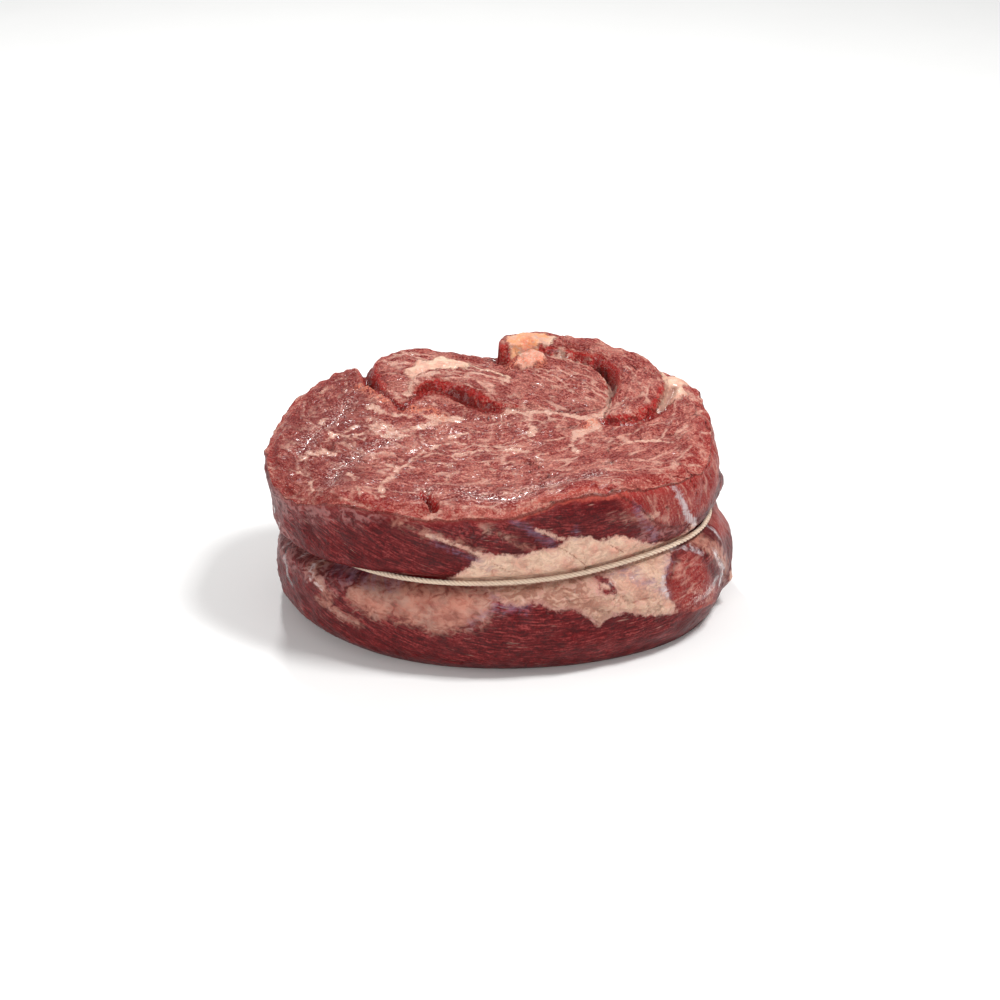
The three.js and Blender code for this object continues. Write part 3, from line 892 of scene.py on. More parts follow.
@dataclass
class Meat:
    """The rolled meat as one closed mesh, with what it is made of, and where shade and glints are
    painted, noted at each place.
    """

    form: Form
    origin: Array
    face_cells: int = 200
    finer_at_back: float = 0.22
    upper_rows: int = 38
    lower_rows: int = 33
    finer_at_string: float = 1.25
    rim_reach: float = 0.14  # how far from the rim it is felt, as a share of the radius
    shade_reach: float = 3.2  # how far from the string the groove is in shade
    painted_shade_below: Point = (-54, 14)  # left of this angle the fat below the string gets its full painted shade: angle, reach
    fibres: Fibres = Fibres()
    bundle_size: tuple[float, float, float] = (2.1, 9, 9)
    grain_size: float = 2.6
    soft_size: float = 9
    crack_size: tuple[float, float, float] = (5.5, 12, 12)
    crack_width: float = 0.06
    furrow_size: Point = (7, 16)
    furrow_width: float = 0.07
    fat_size: float = 6.5
    ragged_size: float = 8
    fat_rise: float = 0.5  # how far fat stands above muscle
    fat_lumps: float = 1.1
    silver_rise: float = 0.3
    rosy_lumps: float = 0.9
    lip_rise: float = 0.9
    crease_dip: float = 0.7
    wet_dip: float = 0.8
    sink: float = 0.25  # keeps the relief from swelling the whole joint
    torn_to: float = 40  # from the middle to here the cut face gets more torn
    crack_patch: float = 14
    furrow_patch: float = 10
    pale_rim: float = 0.05  # the share of the side next to the rim that is as pale as the face
    open_pale: float = 0.55  # how much of that an open place on the side has
    fresh_red: float = 0.45
    crease_shade: float = 0.9
    groove_shade: float = 0.45
    # the least painted shade on the fat below the string, right of that angle
    least_painted_shade: float = 0.4
    bundle: Noise = field(default_factory=lambda: Noise(3))
    swell: Noise = field(default_factory=lambda: Noise(8))

    # -- places ---------------------------------------------------------------------------

    def face_skin(self) -> Skin:
        """The cut face's places: a square grid drawn into the joint's outline.

        Returns:
            The places, one row of the grid after the other.
        """
        t = np.linspace(-1, 1, self.face_cells + 1)
        a, row = np.meshgrid(t, t, indexing="ij")
        b = row + self.finer_at_back * (1 - row * row)
        u, v = a * np.sqrt(1 - b * b / 2), b * np.sqrt(1 - a * a / 2)
        share = np.minimum(1, np.hypot(u, v)).ravel()
        angle = np.arctan2(v, u).ravel() / DEGREE
        radius = share * self.form.rim_radius(angle)
        x, y = radius * np.cos(angle * DEGREE), radius * np.sin(angle * DEGREE)
        return Skin(FACE, np.stack([x, y, self.form.face(x, y, share)], 1), angle, share)

    def rim_of(self, grid: Array) -> Array:
        """The grid's outer corners, counter-clockwise from above."""
        return np.concatenate([grid[:-1, 0], grid[-1, :-1], grid[:0:-1, -1], grid[0, :0:-1]])

    def side_skin(self, side: Side, angle: Array, top: Array, shares: Sequence[float]) -> Skin:
        """Rings of places on the upper or the lower side.

        Args:
            side: which of the two it is.
            angle: the rim's angles.
            top: the height of the side's far end at each of them.
            shares: how far each ring is from the groove to that end.

        Returns:
            The rings' places, one ring after the other.
        """
        out = 1 if side is self.form.upper else -1
        floor = self.form.level(angle) + out * self.form.seat(angle, out)
        share = np.repeat(shares, len(angle))
        around, low, high = (np.tile(v, len(shares)) for v in (angle, floor, top))
        z = low + share * (high - low)
        radius = self.form.side_radius(side, around, z, share, np.abs(z - low))
        spots = np.stack([radius * np.cos(around * DEGREE), radius * np.sin(around * DEGREE), z], 1)
        return Skin(SIDE, spots, around, share * out)

    # -- what the flesh is like -----------------------------------------------------------

    def grain(self, skin: Skin) -> Array:
        """Places measured across and along the fibres of the muscle, in millimetres."""
        return self.fibres.on_face(skin) if skin.where is FACE else self.fibres.on_side(skin)

    def near_rim(self, skin: Skin, reach: float = 0.0) -> Array:
        """How near places are to the rim, from 0 to 1, felt a share of the radius further in."""
        return smooth((skin.share - 1 + self.rim_reach + reach) / self.rim_reach)

    def tissue(self, skin: Skin) -> dict[str, Array]:
        """What the flesh is like at each place, and where shade is painted on it.

        Args:
            skin: the places.

        Returns:
            Named values: depths in millimetres for fat, silverskin and film, and shares from
            0 to 1 for the rest.
        """
        depths = {
            name: deepest(patches, skin.where, *skin.flat)
            for name, patches in (
                ("fat", FAT), ("lean", LEAN), ("thin", THIN), ("film", FILM), ("silver", SILVER),
                ("violet", VIOLET), ("gloss", GLOSSY), ("yellow", YELLOW), ("rosy", ROSY),
                ("open", OPEN), ("lip", LIP),
            )
        }
        x, y, z = skin.spots.T
        nought = np.zeros(len(x))
        shares = {name: smooth(depths[name] / fade + left) for name, (fade, left) in SOFT_EDGES.items()}
        if skin.where is FACE:
            creases = np.max([cleft.bite(x, y) for cleft in CLEFTS], axis=0)
            wall, groove, cut = self.wall(skin), nought, nought + 1
        else:
            creases = wall = nought
            groove = bell((z - self.form.level(skin.angle)) / self.shade_reach)
            at_rim = smooth((skin.share - 1 + self.pale_rim) / self.pale_rim)
            cut = np.maximum(at_rim, self.open_pale * shares["open"])
        edge = smooth((np.abs(skin.share) - 1 + self.rim_reach) / self.rim_reach) * (skin.share > 0)
        # painted shade on the fat below the string, as if the bulge above shades it
        painted_shade_share = smooth((self.painted_shade_below[0] - skin.angle) / self.painted_shade_below[1])
        return {
            **{name: depths[name] for name in ("thin", "film", "silver", "violet", "gloss")},
            "fat": np.minimum(depths["fat"], -depths["lean"]),
            **{name: shares[name] for name in ("yellow", "rosy", "lip")},
            "shade": np.clip(creases * self.crease_shade + groove * self.groove_shade, 0, 1),
            "cut": cut,
            "wet": np.clip(wall + creases, 0, 1),
            "fresh": np.clip(wall + self.fresh_red * (edge + shares["open"]), 0, 1),
            "below": (skin.share < 0) * (self.least_painted_shade + (1 - self.least_painted_shade) * painted_shade_share),
        }

    def wall(self, skin: Skin) -> Array:
        """Where the cut face stands steep.

        Args:
            skin: the cut face's places.

        Returns:
            From 0 on the flat to 1 on a wall, and 0 at the rim.
        """
        gentle, steeper, rim = 0.7, 0.9, 0.93
        cells = self.face_cells + 1
        x, y, z = (v.reshape(cells, cells) for v in skin.spots.T)
        rise = np.hypot(np.gradient(z, axis=0), np.gradient(z, axis=1))
        run = np.hypot(np.gradient(x, axis=0), np.gradient(y, axis=1)) / 1.4
        return smooth((rise / run - gentle) / steeper).ravel() * (skin.share < rim)

    # -- relief ----------------------------------------------------------------------------

    def relief(self, skin: Skin, tissue: dict[str, Array]) -> Array:
        """How far the fine relief lifts each place, in millimetres.

        Args:
            skin: the places.
            tissue: what the flesh is like there; it is told where the cracks are.

        Returns:
            The lift of each place.
        """
        amounts, on_face = RELIEFS[skin.where], skin.where is FACE
        grain, spots = self.grain(skin), skin.spots
        lean = 1 - smooth(tissue["fat"] / 1.2 + 0.5)
        grains = self.bundle.octaves(spots / self.grain_size, 2)
        crack = self.cracks(skin, grain) * lean
        muscle = (
            amounts.fibres * self.bundle.octaves(grain / self.bundle_size, 2)
            + amounts.grains * grains
            + amounts.soft * self.swell.octaves(spots / self.soft_size, 2)
            - amounts.crack * crack
        )
        furrow = 0 * lean if on_face else self.furrows(skin) * (1 - lean)
        fatty = self.fat_rise + 0.15 * grains - furrow
        fatty = fatty + self.fat_lumps * self.swell.octaves(spots / self.fat_size, 2)
        crease = smooth(deepest(CREASES, skin.where, *skin.flat) / 0.5 + 0.5)
        dip = self.wet_dip * smooth(tissue["gloss"] / 1.5 + 0.6) * on_face
        tissue["crack"] = np.maximum(crack, np.maximum(0.6 * furrow, crease))
        lift = lean * muscle + (1 - lean) * fatty
        lift = lift + self.silver_rise * smooth(tissue["silver"] / 1.5)
        lift = lift + self.rosy_lumps * tissue["rosy"] * grains
        return lift + self.lip_rise * tissue["lip"] - self.crease_dip * crease - dip - self.sink

    def cracks(self, skin: Skin, grain: Array) -> Array:
        """Where the muscle has come apart along its fibres.

        Args:
            skin: the places.
            grain: the same places measured across and along the fibres.

        Returns:
            From 0 to 1 in the middle of a crack.
        """
        torn = smooth(skin.spots[:, 0] / self.torn_to) * (skin.where is FACE)
        gape = self.swell.at(grain / self.crack_size + 5)
        patchy = smooth(self.swell.at(skin.spots / self.crack_patch + 9) * 2.4 - 0.35 + 0.5 * torn)
        return bell(gape / self.crack_width) * patchy

    def furrows(self, skin: Skin) -> Array:
        """Where the layer of fat is furrowed, slanting down to the right.

        Args:
            skin: the side's places.

        Returns:
            From 0 to 1 in the middle of a furrow.
        """
        across, along = self.furrow_size
        around, z = SIDE_RADIUS * DEGREE * turn(skin.angle, -60), skin.spots[:, 2]
        slanted = [(0.6 * around + 0.8 * z) / across, (0.8 * around - 0.6 * z) / along, 0 * around + 3]
        fold = self.swell.octaves(np.stack(slanted, 1), 2)
        patchy = smooth(self.bundle.at(skin.spots / self.furrow_patch + 3) * 2 + 0.4)
        return bell(fold / self.furrow_width) * patchy

    # -- the mesh --------------------------------------------------------------------------

    def build(self) -> bpy.types.Object:
        """Makes the mesh and notes the flesh's values on it.

        Returns:
            The new object.
        """
        face = self.face_skin()
        cells = self.face_cells + 1
        grid = np.arange(cells * cells).reshape(cells, cells)
        rim = self.rim_of(grid)
        angle, top = face.angle[rim], face.spots[rim, 2]
        upper_shares = (1 - np.arange(1, self.upper_rows + 1) / self.upper_rows) ** self.finer_at_string
        lower_shares = (np.arange(self.lower_rows + 1) / self.lower_rows) ** self.finer_at_string
        upper = self.side_skin(self.form.upper, angle, top, upper_shares)
        lower = self.side_skin(self.form.lower, angle, np.zeros_like(angle), lower_shares)
        points, values = [], {}
        for skin in (face, upper, lower):
            tissue = self.tissue(skin)
            lift = self.relief(skin, tissue)
            lift = self.outward(skin) * (lift * self.freedom(skin))[:, None]
            points.append(skin.spots + lift + self.rim_push(skin))
            tissue["grain"] = self.grain(skin)
            for name, value in tissue.items():
                values.setdefault(name, []).append(value)
        spots = np.vstack(points + [[0, 0, 0]])
        faces = self.face_quads(grid, spots) + self.rings(rim, len(face.spots), len(spots) - 1)
        values = {name: np.concatenate(parts + [parts[-1][-1:]]) for name, parts in values.items()}
        return self.to_object(spots, faces, values)

    def outward(self, skin: Skin) -> Array:
        """Which way the relief lifts each place.

        Args:
            skin: the places.

        Returns:
            Directions: up on the face and out on the side.
        """
        tilt = self.near_rim(skin) if skin.where is FACE else 1 + 0 * skin.share
        c, s = np.cos(skin.angle * DEGREE), np.sin(skin.angle * DEGREE)
        return np.stack([c * tilt, s * tilt, 1 - tilt], 1)

    def rim_push(self, skin: Skin) -> Array:
        """How far the rim's raggedness moves each place.

        Args:
            skin: the places.

        Returns:
            The moves, out and up.
        """
        out, up = (self.swell.octaves(skin.spots / self.ragged_size + 20 * k, 3) for k in (1, 2))
        c, s = np.cos(skin.angle * DEGREE), np.sin(skin.angle * DEGREE)
        return self.near_rim(skin, 0.02)[:, None] * np.stack([out * c, out * s, 1.3 * up], 1)

    def freedom(self, skin: Skin) -> Array:
        """How much of the relief places take.

        Args:
            skin: the places.

        Returns:
            Half at the rim, none at the foot and in the groove, and all of it elsewhere.
        """
        if skin.where is FACE:
            return 1 - 0.5 * self.near_rim(skin)
        gap = np.abs(skin.spots[:, 2] - self.form.level(skin.angle)) - self.form.groove_seat
        return smooth(gap / 3) * smooth(skin.spots[:, 2] / 2.5)

    def face_quads(self, grid: Array, spots: Array) -> Faces:
        """The cut face's triangles, split along the diagonal with the smaller drop.

        Args:
            grid: the numbers of the corners, row by row.
            spots: the corners.

        Returns:
            The corners of each triangle.
        """
        a, b, c, d = grid[:-1, :-1], grid[1:, :-1], grid[1:, 1:], grid[:-1, 1:]
        z = spots[:, 2]
        first = np.abs(z[a] - z[c]) < np.abs(z[b] - z[d])
        halves = [
            np.stack([np.where(first, p, q) for p, q in pairs], -1).reshape(-1, 3)
            for pairs in (((a, b), (b, c), (c, d)), ((a, b), (c, d), (d, a)))
        ]
        return [tuple(row) for row in np.vstack(halves).tolist()]

    def rings(self, rim: Array, start: int, foot: int) -> Faces:
        """The side's faces from the rim down, and the flat foot's.

        Args:
            rim: the numbers of the rim's corners.
            start: the number of the first ring's first corner.
            foot: the number of the foot's middle.

        Returns:
            The corners of each face.
        """
        count = len(rim)
        ring, made = rim, []
        for k in range(self.upper_rows + self.lower_rows + 1):
            below = start + k * count + np.arange(count)
            quads = np.stack([np.roll(ring, -1), ring, below, np.roll(below, -1)], 1)
            made += [tuple(row) for row in quads.tolist()]
            ring = below
        return made + [(foot, int(b), int(a)) for a, b in zip(ring, np.roll(ring, -1))]

    def to_object(self, spots: Array, faces: Faces, values: dict[str, Array]) -> bpy.types.Object:
        """Moves the mesh to the frame, keeps it inside the joint's box and stores the values.

        Args:
            spots: the corners, in the form's own millimetres.
            faces: the corners of each face.
            values: what the flesh is like at each corner.

        Returns:
            The new object.
        """
        low, high = (np.array(corner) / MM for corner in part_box("beef"))
        placed = np.clip(spots + self.origin, low, high)
        piece = new_piece("beef_meat", placed, faces)
        for name, parts in (
            ("tissue", ("fat", "thin", "film")),
            ("skins_and_glints", ("silver", "violet", "gloss")),
            ("tone", ("yellow", "rosy", "fresh")),
            ("state", ("cut", "wet", "shade")),
            ("marks_and_painted_light", ("crack", "below", "lip")),
        ):
            note(piece, name, np.stack([values[part] for part in parts], 1))
        note(piece, "grain", values["grain"])
        return piece


def new_piece(name: str, spots: Array, faces: Faces) -> bpy.types.Object:
    """Makes a smooth-shaded mesh object and links it into the scene.

    Args:
        name: the piece's name.
        spots: its corners in millimetres.
        faces: the corners of each face.

    Returns:
        The new object.
    """
    mesh = bpy.data.meshes.new(name)
    mesh.from_pydata((spots * MM).tolist(), [], faces)
    mesh.shade_smooth()
    piece = bpy.data.objects.new(name, mesh)
    bpy.context.scene.collection.objects.link(piece)
    return piece


def note(piece: bpy.types.Object, name: str, values: Array) -> None:
    """Stores three numbers at each corner of a piece's mesh, for its finish."""
    attribute = piece.data.attributes.new(name, "FLOAT_VECTOR", "POINT")
    attribute.data.foreach_set("vector", values.astype(np.float32).ravel())


# ------------------------------------------------------------------------------- the string


@dataclass
class Twine:
    """The string: a loop of twisted strands round the waist, with its knot and cut ends."""

    form: Form
    origin: Array
    diameter: float = 2.3
    clearance: float = 0.35
    strands: int = 3
    strand_share: float = 0.54  # of the string's radius
    lay: float = 6.2  # millimetres for one turn of the strands
    sides: int = 7
    loop_steps: int = 1000
    knot_steps: int = 120
    tail_steps: int = 40
    tail_ease: int = 9  # steps over which its corners are rounded
    knot_size: float = 1.0
    knot_rise: float = 1.2
    tail_run: Sequence[tuple[float, float, float]] = (  # out from the loop, aside, up
        (1.2, 1.2, 0), (2.7, 4.8, -0.9), (7.7, 9, -4.5), (7.7, 12, -9),
    )

    def beside(self, angle: Array, out: Array | float, aside: Array | float, up: Array | float) -> Array:
        """Places beside the loop's middle line.

        Args:
            angle: where on the loop they are.
            out: how far out from it.
            aside: how far along it.
            up: how far above it.

        Returns:
            The places, one row each.
        """
        radius = WAIST.radius(angle) + self.clearance + self.diameter / 2 + out
        c, s = np.cos(angle * DEGREE), np.sin(angle * DEGREE)
        level = self.form.level(angle) + up
        return np.stack([radius * c - aside * s, radius * s + aside * c, level], -1)

    def loop(self) -> Array:
        """The middle line round the waist, closed."""
        return self.beside(np.linspace(0, 360, self.loop_steps + 1), 0, 0, 0)

    def knot(self) -> Array:
        """The knot's middle line: a trefoil that lies flat against the meat.

        Returns:
            The line's points, where the last one is the first one again.
        """
        a = np.linspace(0, 2 * math.pi, self.knot_steps + 1)
        size = self.knot_size
        aside, up = size * (np.sin(a) + 2 * np.sin(2 * a)), size * (np.cos(a) - 2 * np.cos(2 * a))
        at = np.full_like(a, self.form.knot_angle)
        return self.beside(at, self.knot_rise - size * np.sin(3 * a), aside, up)

    def tail(self, side: int) -> Array:
        """The middle line of one cut end.

        Args:
            side: -1 for the one to the left of the knot, 1 for the one to the right.

        Returns:
            The line's points.
        """
        run = np.array(self.tail_run)
        places = np.linspace(0, len(run) - 1, self.tail_steps + 1)
        ease = np.hanning(self.tail_ease) / np.hanning(self.tail_ease).sum()
        out, aside, up = (
            np.convolve(
                np.pad(np.interp(places, range(len(run)), column), self.tail_ease // 2, "edge"),
                ease,
                "valid",
            )
            for column in run.T
        )
        return self.beside(np.full_like(out, self.form.knot_angle), out, side * aside, up)

    def twisted(self, line: Array, closed: bool) -> list[Array]:
        """The middle lines of the strands that wind round a line.

        Args:
            line: the line's points.
            closed: whether it is closed, so that the strands have to meet.

        Returns:
            One line for each strand.
        """
        normal, binormal = frames(line, closed)
        length = np.linalg.norm(np.diff(line, axis=0), axis=1).sum()
        turns = round(length / self.lay) if closed else length / self.lay
        offset = self.diameter / 2 * (1 - self.strand_share)
        lines = []
        for k in range(self.strands):
            a = 2 * math.pi * (np.linspace(0, turns, len(line)) + k / self.strands)
            lines.append(line + offset * (np.cos(a)[:, None] * normal + np.sin(a)[:, None] * binormal))
        return lines

    def build(self) -> bpy.types.Object:
        """Makes all the strands as one mesh.

        Returns:
            The new object.
        """
        radius = self.diameter / 2 * self.strand_share
        spots, faces, along = [], [], []
        rings, ends = (self.loop(), self.knot()), (self.tail(-1), self.tail(1))
        for line, closed in [(line, True) for line in rings] + [(line, False) for line in ends]:
            for strand in self.twisted(line, closed):
                start = sum(map(len, spots))
                corners, quads, run = tube(strand, radius, self.sides, closed)
                middle = np.repeat(line[: len(corners) // self.sides], self.sides, axis=0)
                proud = np.linalg.norm(corners - middle, axis=1) / (self.diameter / 2)
                spots.append(corners)
                along.append(np.column_stack([run, proud]))
                faces += [tuple(start + i for i in quad) for quad in quads]
        low, high = (np.array(corner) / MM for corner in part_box("string"))
        placed = np.clip(np.vstack(spots) + self.origin, low, high)
        piece = new_piece("string_twine", placed, faces)
        run = np.vstack(along)
        note(piece, "run", run[:, :3])
        note(piece, "proud", run[:, [3, 3, 3]])
        return piece


def frames(line: Array, closed: bool) -> tuple[Array, Array]:
    """Two directions square to a line at each of its points, with as little twist as can be.

    Args:
        line: the points, where a closed line repeats its first one at the end.
        closed: whether the line is closed, so that the directions have to meet.

    Returns:
        The two directions at each point.
    """
    ahead = np.gradient(line, axis=0)
    if closed:
        ahead[0] = ahead[-1] = line[1] - line[-2]
    ahead /= np.linalg.norm(ahead, axis=1, keepdims=True)
    start = np.array([0, 0, 1.0]) if abs(ahead[0, 2]) < 0.8 else np.array([1.0, 0, 0])
    normal = np.zeros_like(line)
    for i, direction in enumerate(ahead):
        start = start - direction * (start @ direction)
        start = start / np.linalg.norm(start)
        normal[i] = start
    binormal = np.cross(ahead, normal)
    if closed:
        miss = math.atan2(normal[-1] @ binormal[0], normal[-1] @ normal[0])
        a = -miss * np.linspace(0, 1, len(line))[:, None]
        normal, binormal = (
            np.cos(a) * normal + np.sin(a) * binormal,
            np.cos(a) * binormal - np.sin(a) * normal,
        )
    return normal, binormal


END_WIDTH = 0.55  # of a cut strand, as a share of its width


def tube(line: Array, radius: float, sides: int, closed: bool) -> tuple[Array, Faces, Array]:
    """A round tube along a line.

    Args:
        line: the middle line's points.
        radius: the tube's radius.
        sides: how many sides it has.
        closed: whether it closes on itself; otherwise its ends are drawn in.

    Returns:
        Its corners, its faces, and how far along and round it each corner lies.
    """
    normal, binormal = frames(line, closed)
    run = np.concatenate([[0], np.cumsum(np.linalg.norm(np.diff(line, axis=0), axis=1))])
    if closed:
        line, normal, binormal, run = line[:-1], normal[:-1], binormal[:-1], run[:-1]
    count = len(line)
    width = np.full(count, radius)
    if not closed:
        width[[0, -1]] *= END_WIDTH
    a = 2 * math.pi * np.arange(sides) / sides
    ring = np.cos(a)[None, :, None] * normal[:, None] + np.sin(a)[None, :, None] * binormal[:, None]
    spots = (line[:, None] + width[:, None, None] * ring).reshape(-1, 3)
    place = np.stack(np.broadcast_arrays(run[:, None], np.cos(a), np.sin(a)), -1).reshape(-1, 3)
    quads = []
    for i in range(count if closed else count - 1):
        after = (i + 1) % count
        for k in range(sides):
            j = (k + 1) % sides
            quads.append((i * sides + k, i * sides + j, after * sides + j, after * sides + k))
    if not closed:
        quads.append(tuple(range(sides - 1, -1, -1)))
        quads.append(tuple((count - 1) * sides + k for k in range(sides)))
    return spots, quads, place


# ------------------------------------------------------------------------- shader expressions

Number = float | int
Colour = tuple[float, float, float]


class Wire:
    """A socket of a finish that takes part in expressions."""

    def __init__(self, paint: "Paint", socket: bpy.types.NodeSocket | None) -> None:
        """Wraps an output socket of a node in paint's tree, or none for the tree's last node."""
        self.paint = paint
        self.socket = socket

    def maths(self, operation: str, first: "Wire | Number", second: "Wire | Number") -> "Wire":
        """Adds a Math node, or a Vector Math node where either side is a vector or a colour.

        Args:
            operation: what the node does.
            first: its first side.
            second: its second side.

        Returns:
            The result.
        """
        sides = (first, second)
        plain = all(isinstance(side, Number) or side.socket.type == "VALUE" for side in sides)
        kind = "ShaderNodeMath" if plain else "ShaderNodeVectorMath"
        return self.paint.add(kind, {"operation": operation}, dict(enumerate(sides)))

    def __add__(self, other: "Wire | Number") -> "Wire":
        """The sum."""
        return self.maths("ADD", self, other)

    def __sub__(self, other: "Wire | Number") -> "Wire":
        """The difference."""
        return self.maths("SUBTRACT", self, other)

    def __rsub__(self, other: Number) -> "Wire":
        """The difference, where the number comes first."""
        return self.maths("SUBTRACT", other, self)

    def __mul__(self, other: "Wire | Number") -> "Wire":
        """The product."""
        return self.maths("MULTIPLY", self, other)

    __radd__ = __add__
    __rmul__ = __mul__

    def __pow__(self, power: Number) -> "Wire":
        """The power."""
        return self.maths("POWER", self, power)

    def most(self, other: "Wire | Number") -> "Wire":
        """The larger of the two."""
        return self.maths("MAXIMUM", self, other)

    def ramp(self, low: float, high: float) -> "Wire":
        """A soft step from 0 at low to 1 at high, or down where low is the larger."""
        ends = {0: self, 1: low, 2: high}
        return self.paint.add("ShaderNodeMapRange", {"interpolation_type": "SMOOTHSTEP"}, ends)

    def part(self, index: int) -> "Wire":
        """One of a vector's three numbers."""
        return self.paint.add("ShaderNodeSeparateXYZ", {}, {0: self}, index)

    def stretched(self, *sizes: float) -> "Wire":
        """A vector with each number divided by a size in millimetres."""
        scale = tuple(1 / size for size in sizes)
        return self.paint.add("ShaderNodeVectorMath", {"operation": "MULTIPLY"}, {0: self, 1: scale})


class Paint:
    """A material under construction."""

    def __init__(self, name: str) -> None:
        """Makes an empty material.

        Args:
            name: the material's name.
        """
        self.material = bpy.data.materials.new(name)
        self.material.use_nodes = True
        self.tree = self.material.node_tree
        self.tree.nodes.clear()

    def add(self, kind: str, settings: dict, sockets: dict, output: int | str = 0) -> Wire:
        """Adds a node.

        Args:
            kind: the node's type.
            settings: what is set on the node itself, before its sockets.
            sockets: the values or wires for its input sockets, by name or number.
            output: which of its outputs is wanted.

        Returns:
            That output.
        """
        node = self.tree.nodes.new(kind)
        for name, value in settings.items():
            setattr(node, name, value)
        for key, value in sockets.items():
            socket = node.inputs[key]
            if isinstance(value, Wire):
                self.tree.links.new(value.socket, socket)
            elif isinstance(value, Number) and socket.type == "VECTOR":
                socket.default_value = (value,) * 3
            elif socket.type == "RGBA" and len(value) == 3:
                socket.default_value = (*value, 1)
            else:
                socket.default_value = value
        return Wire(self, node.outputs[output] if node.outputs else None)

    def noted(self, name: str) -> Wire:
        """The three numbers stored on the mesh under a name."""
        return self.add("ShaderNodeAttribute", {"attribute_name": name}, {}, "Vector")

    def noted_parts(self, name: str) -> Sequence[Wire]:
        """The three numbers stored on the mesh under a name, one by one."""
        return [self.noted(name).part(k) for k in range(3)]

    def place(self) -> Wire:
        """The place on the object, in millimetres."""
        where = self.add("ShaderNodeTexCoord", {}, {}, "Object")
        return where.stretched(MM, MM, MM)

    def noise(self, at: Wire, detail: float = 2, roughness: float = 0.55, warp: float = 0) -> Wire:
        """Soft noise from 0 to 1.

        Args:
            at: the place, in cells of the noise.
            detail: how many finer octaves it has.
            roughness: how strong each is beside the one before.
            warp: how far the noise bends itself.

        Returns:
            The noise.
        """
        looks = {"Detail": detail, "Roughness": roughness, "Distortion": warp}
        return self.add("ShaderNodeTexNoise", {}, {"Vector": at, "Scale": 1, **looks})

    def warped(self, at: Wire, size: float, amount: float) -> Wire:
        """A vector pushed about by noise of a size, by up to an amount."""
        sockets = {"Vector": at, "Scale": 1 / size, "Detail": 2}
        return at + (self.add("ShaderNodeTexNoise", {}, sockets, "Color") - 0.5) * (2 * amount)

    def cells(self, at: Wire) -> Wire:
        """How far a place is from the edges between uneven cells one unit wide."""
        settings = {"feature": "DISTANCE_TO_EDGE"}
        return self.add("ShaderNodeTexVoronoi", settings, {"Vector": at, "Scale": 1})

    def mix(self, share: "Wire | Number", first: "Wire | Colour", second: "Wire | Colour") -> Wire:
        """One colour turning into another as share goes from 0 to 1."""
        settings = {"data_type": "RGBA", "clamp_factor": True}
        return self.add("ShaderNodeMix", settings, {0: share, 6: first, 7: second}, 2)

    def finish(self, surface: dict, height: Wire) -> bpy.types.Material:
        """Closes the material.

        Args:
            surface: what the shader's sockets get.
            height: the relief in millimetres.

        Returns:
            The finished material.
        """
        bump = self.add("ShaderNodeBump", {}, {"Strength": 1, "Distance": MM, "Height": height})
        shader = self.add("ShaderNodeBsdfPrincipled", {}, {**surface, "Normal": bump})
        self.add("ShaderNodeOutputMaterial", {}, {"Surface": shader})
        return self.material


def srgb(red: int, green: int, blue: int) -> Colour:
    """A colour from its display values.

    Args:
        red: from 0 to 255.
        green: from 0 to 255.
        blue: from 0 to 255.

    Returns:
        The linear colour that a shader takes.
    """
    return tuple(
        c / 12.92 if c <= 0.04045 else ((c + 0.055) / 1.055) ** 2.4
        for c in (red / 255, green / 255, blue / 255)
    )


class MeatWires:
    """The patterns and the values stored on the mesh that the meat's look is worked out from."""

    def __init__(self, p: Paint) -> None:
        """Adds the patterns to a material.

        Args:
            p: the material.
        """
        self.paint = p
        self.at, self.grain = p.place(), p.noted("grain")
        self.fat_depth, self.thin_depth, self.film_depth = p.noted_parts("tissue")
        self.silver_depth, self.violet_depth, self.gloss_depth = p.noted_parts("skins_and_glints")
        self.yellow, self.rosy, self.fresh = p.noted_parts("tone")
        self.cut, self.wet, self.shade = p.noted_parts("state")
        self.crack, self.below, self.lip = p.noted_parts("marks_and_painted_light")
        self.bundles = p.noise(self.grain.stretched(1.4, 3.6, 3.6), 3, 0.65, 0.6)
        self.threads = p.noise(self.grain.stretched(0.6, 7, 7), 2, 0.6, 0.3)
        self.streaks = p.noise(self.grain.stretched(0.8, 9, 9), 2, 0.6)
        self.specks = p.noise(self.at.stretched(0.9, 0.9, 0.9), 2, 0.6)
        self.mottle = p.noise(self.at.stretched(11, 11, 11), 2, 0.55)
        self.patchy = p.noise(self.at.stretched(8, 8, 8) + 4, 2)
        self.ragged = p.noise(self.at.stretched(2.4, 2.4, 2.4), 3, 0.68) - 0.5
        self.strands = p.noise(self.at.stretched(4.2, 4.2, 2.8), 3, 0.5, 1.2)
        self.lumps = p.cells(p.warped(self.at.stretched(9, 9, 6), 0.8, 0.35))
        along = self.threads * 0.46 + self.bundles * 0.3 + self.specks * 0.24
        across = self.threads * 0.12 + self.bundles * 0.38 + self.specks * 0.5
        self.fibre = along + self.cut * (across - along)


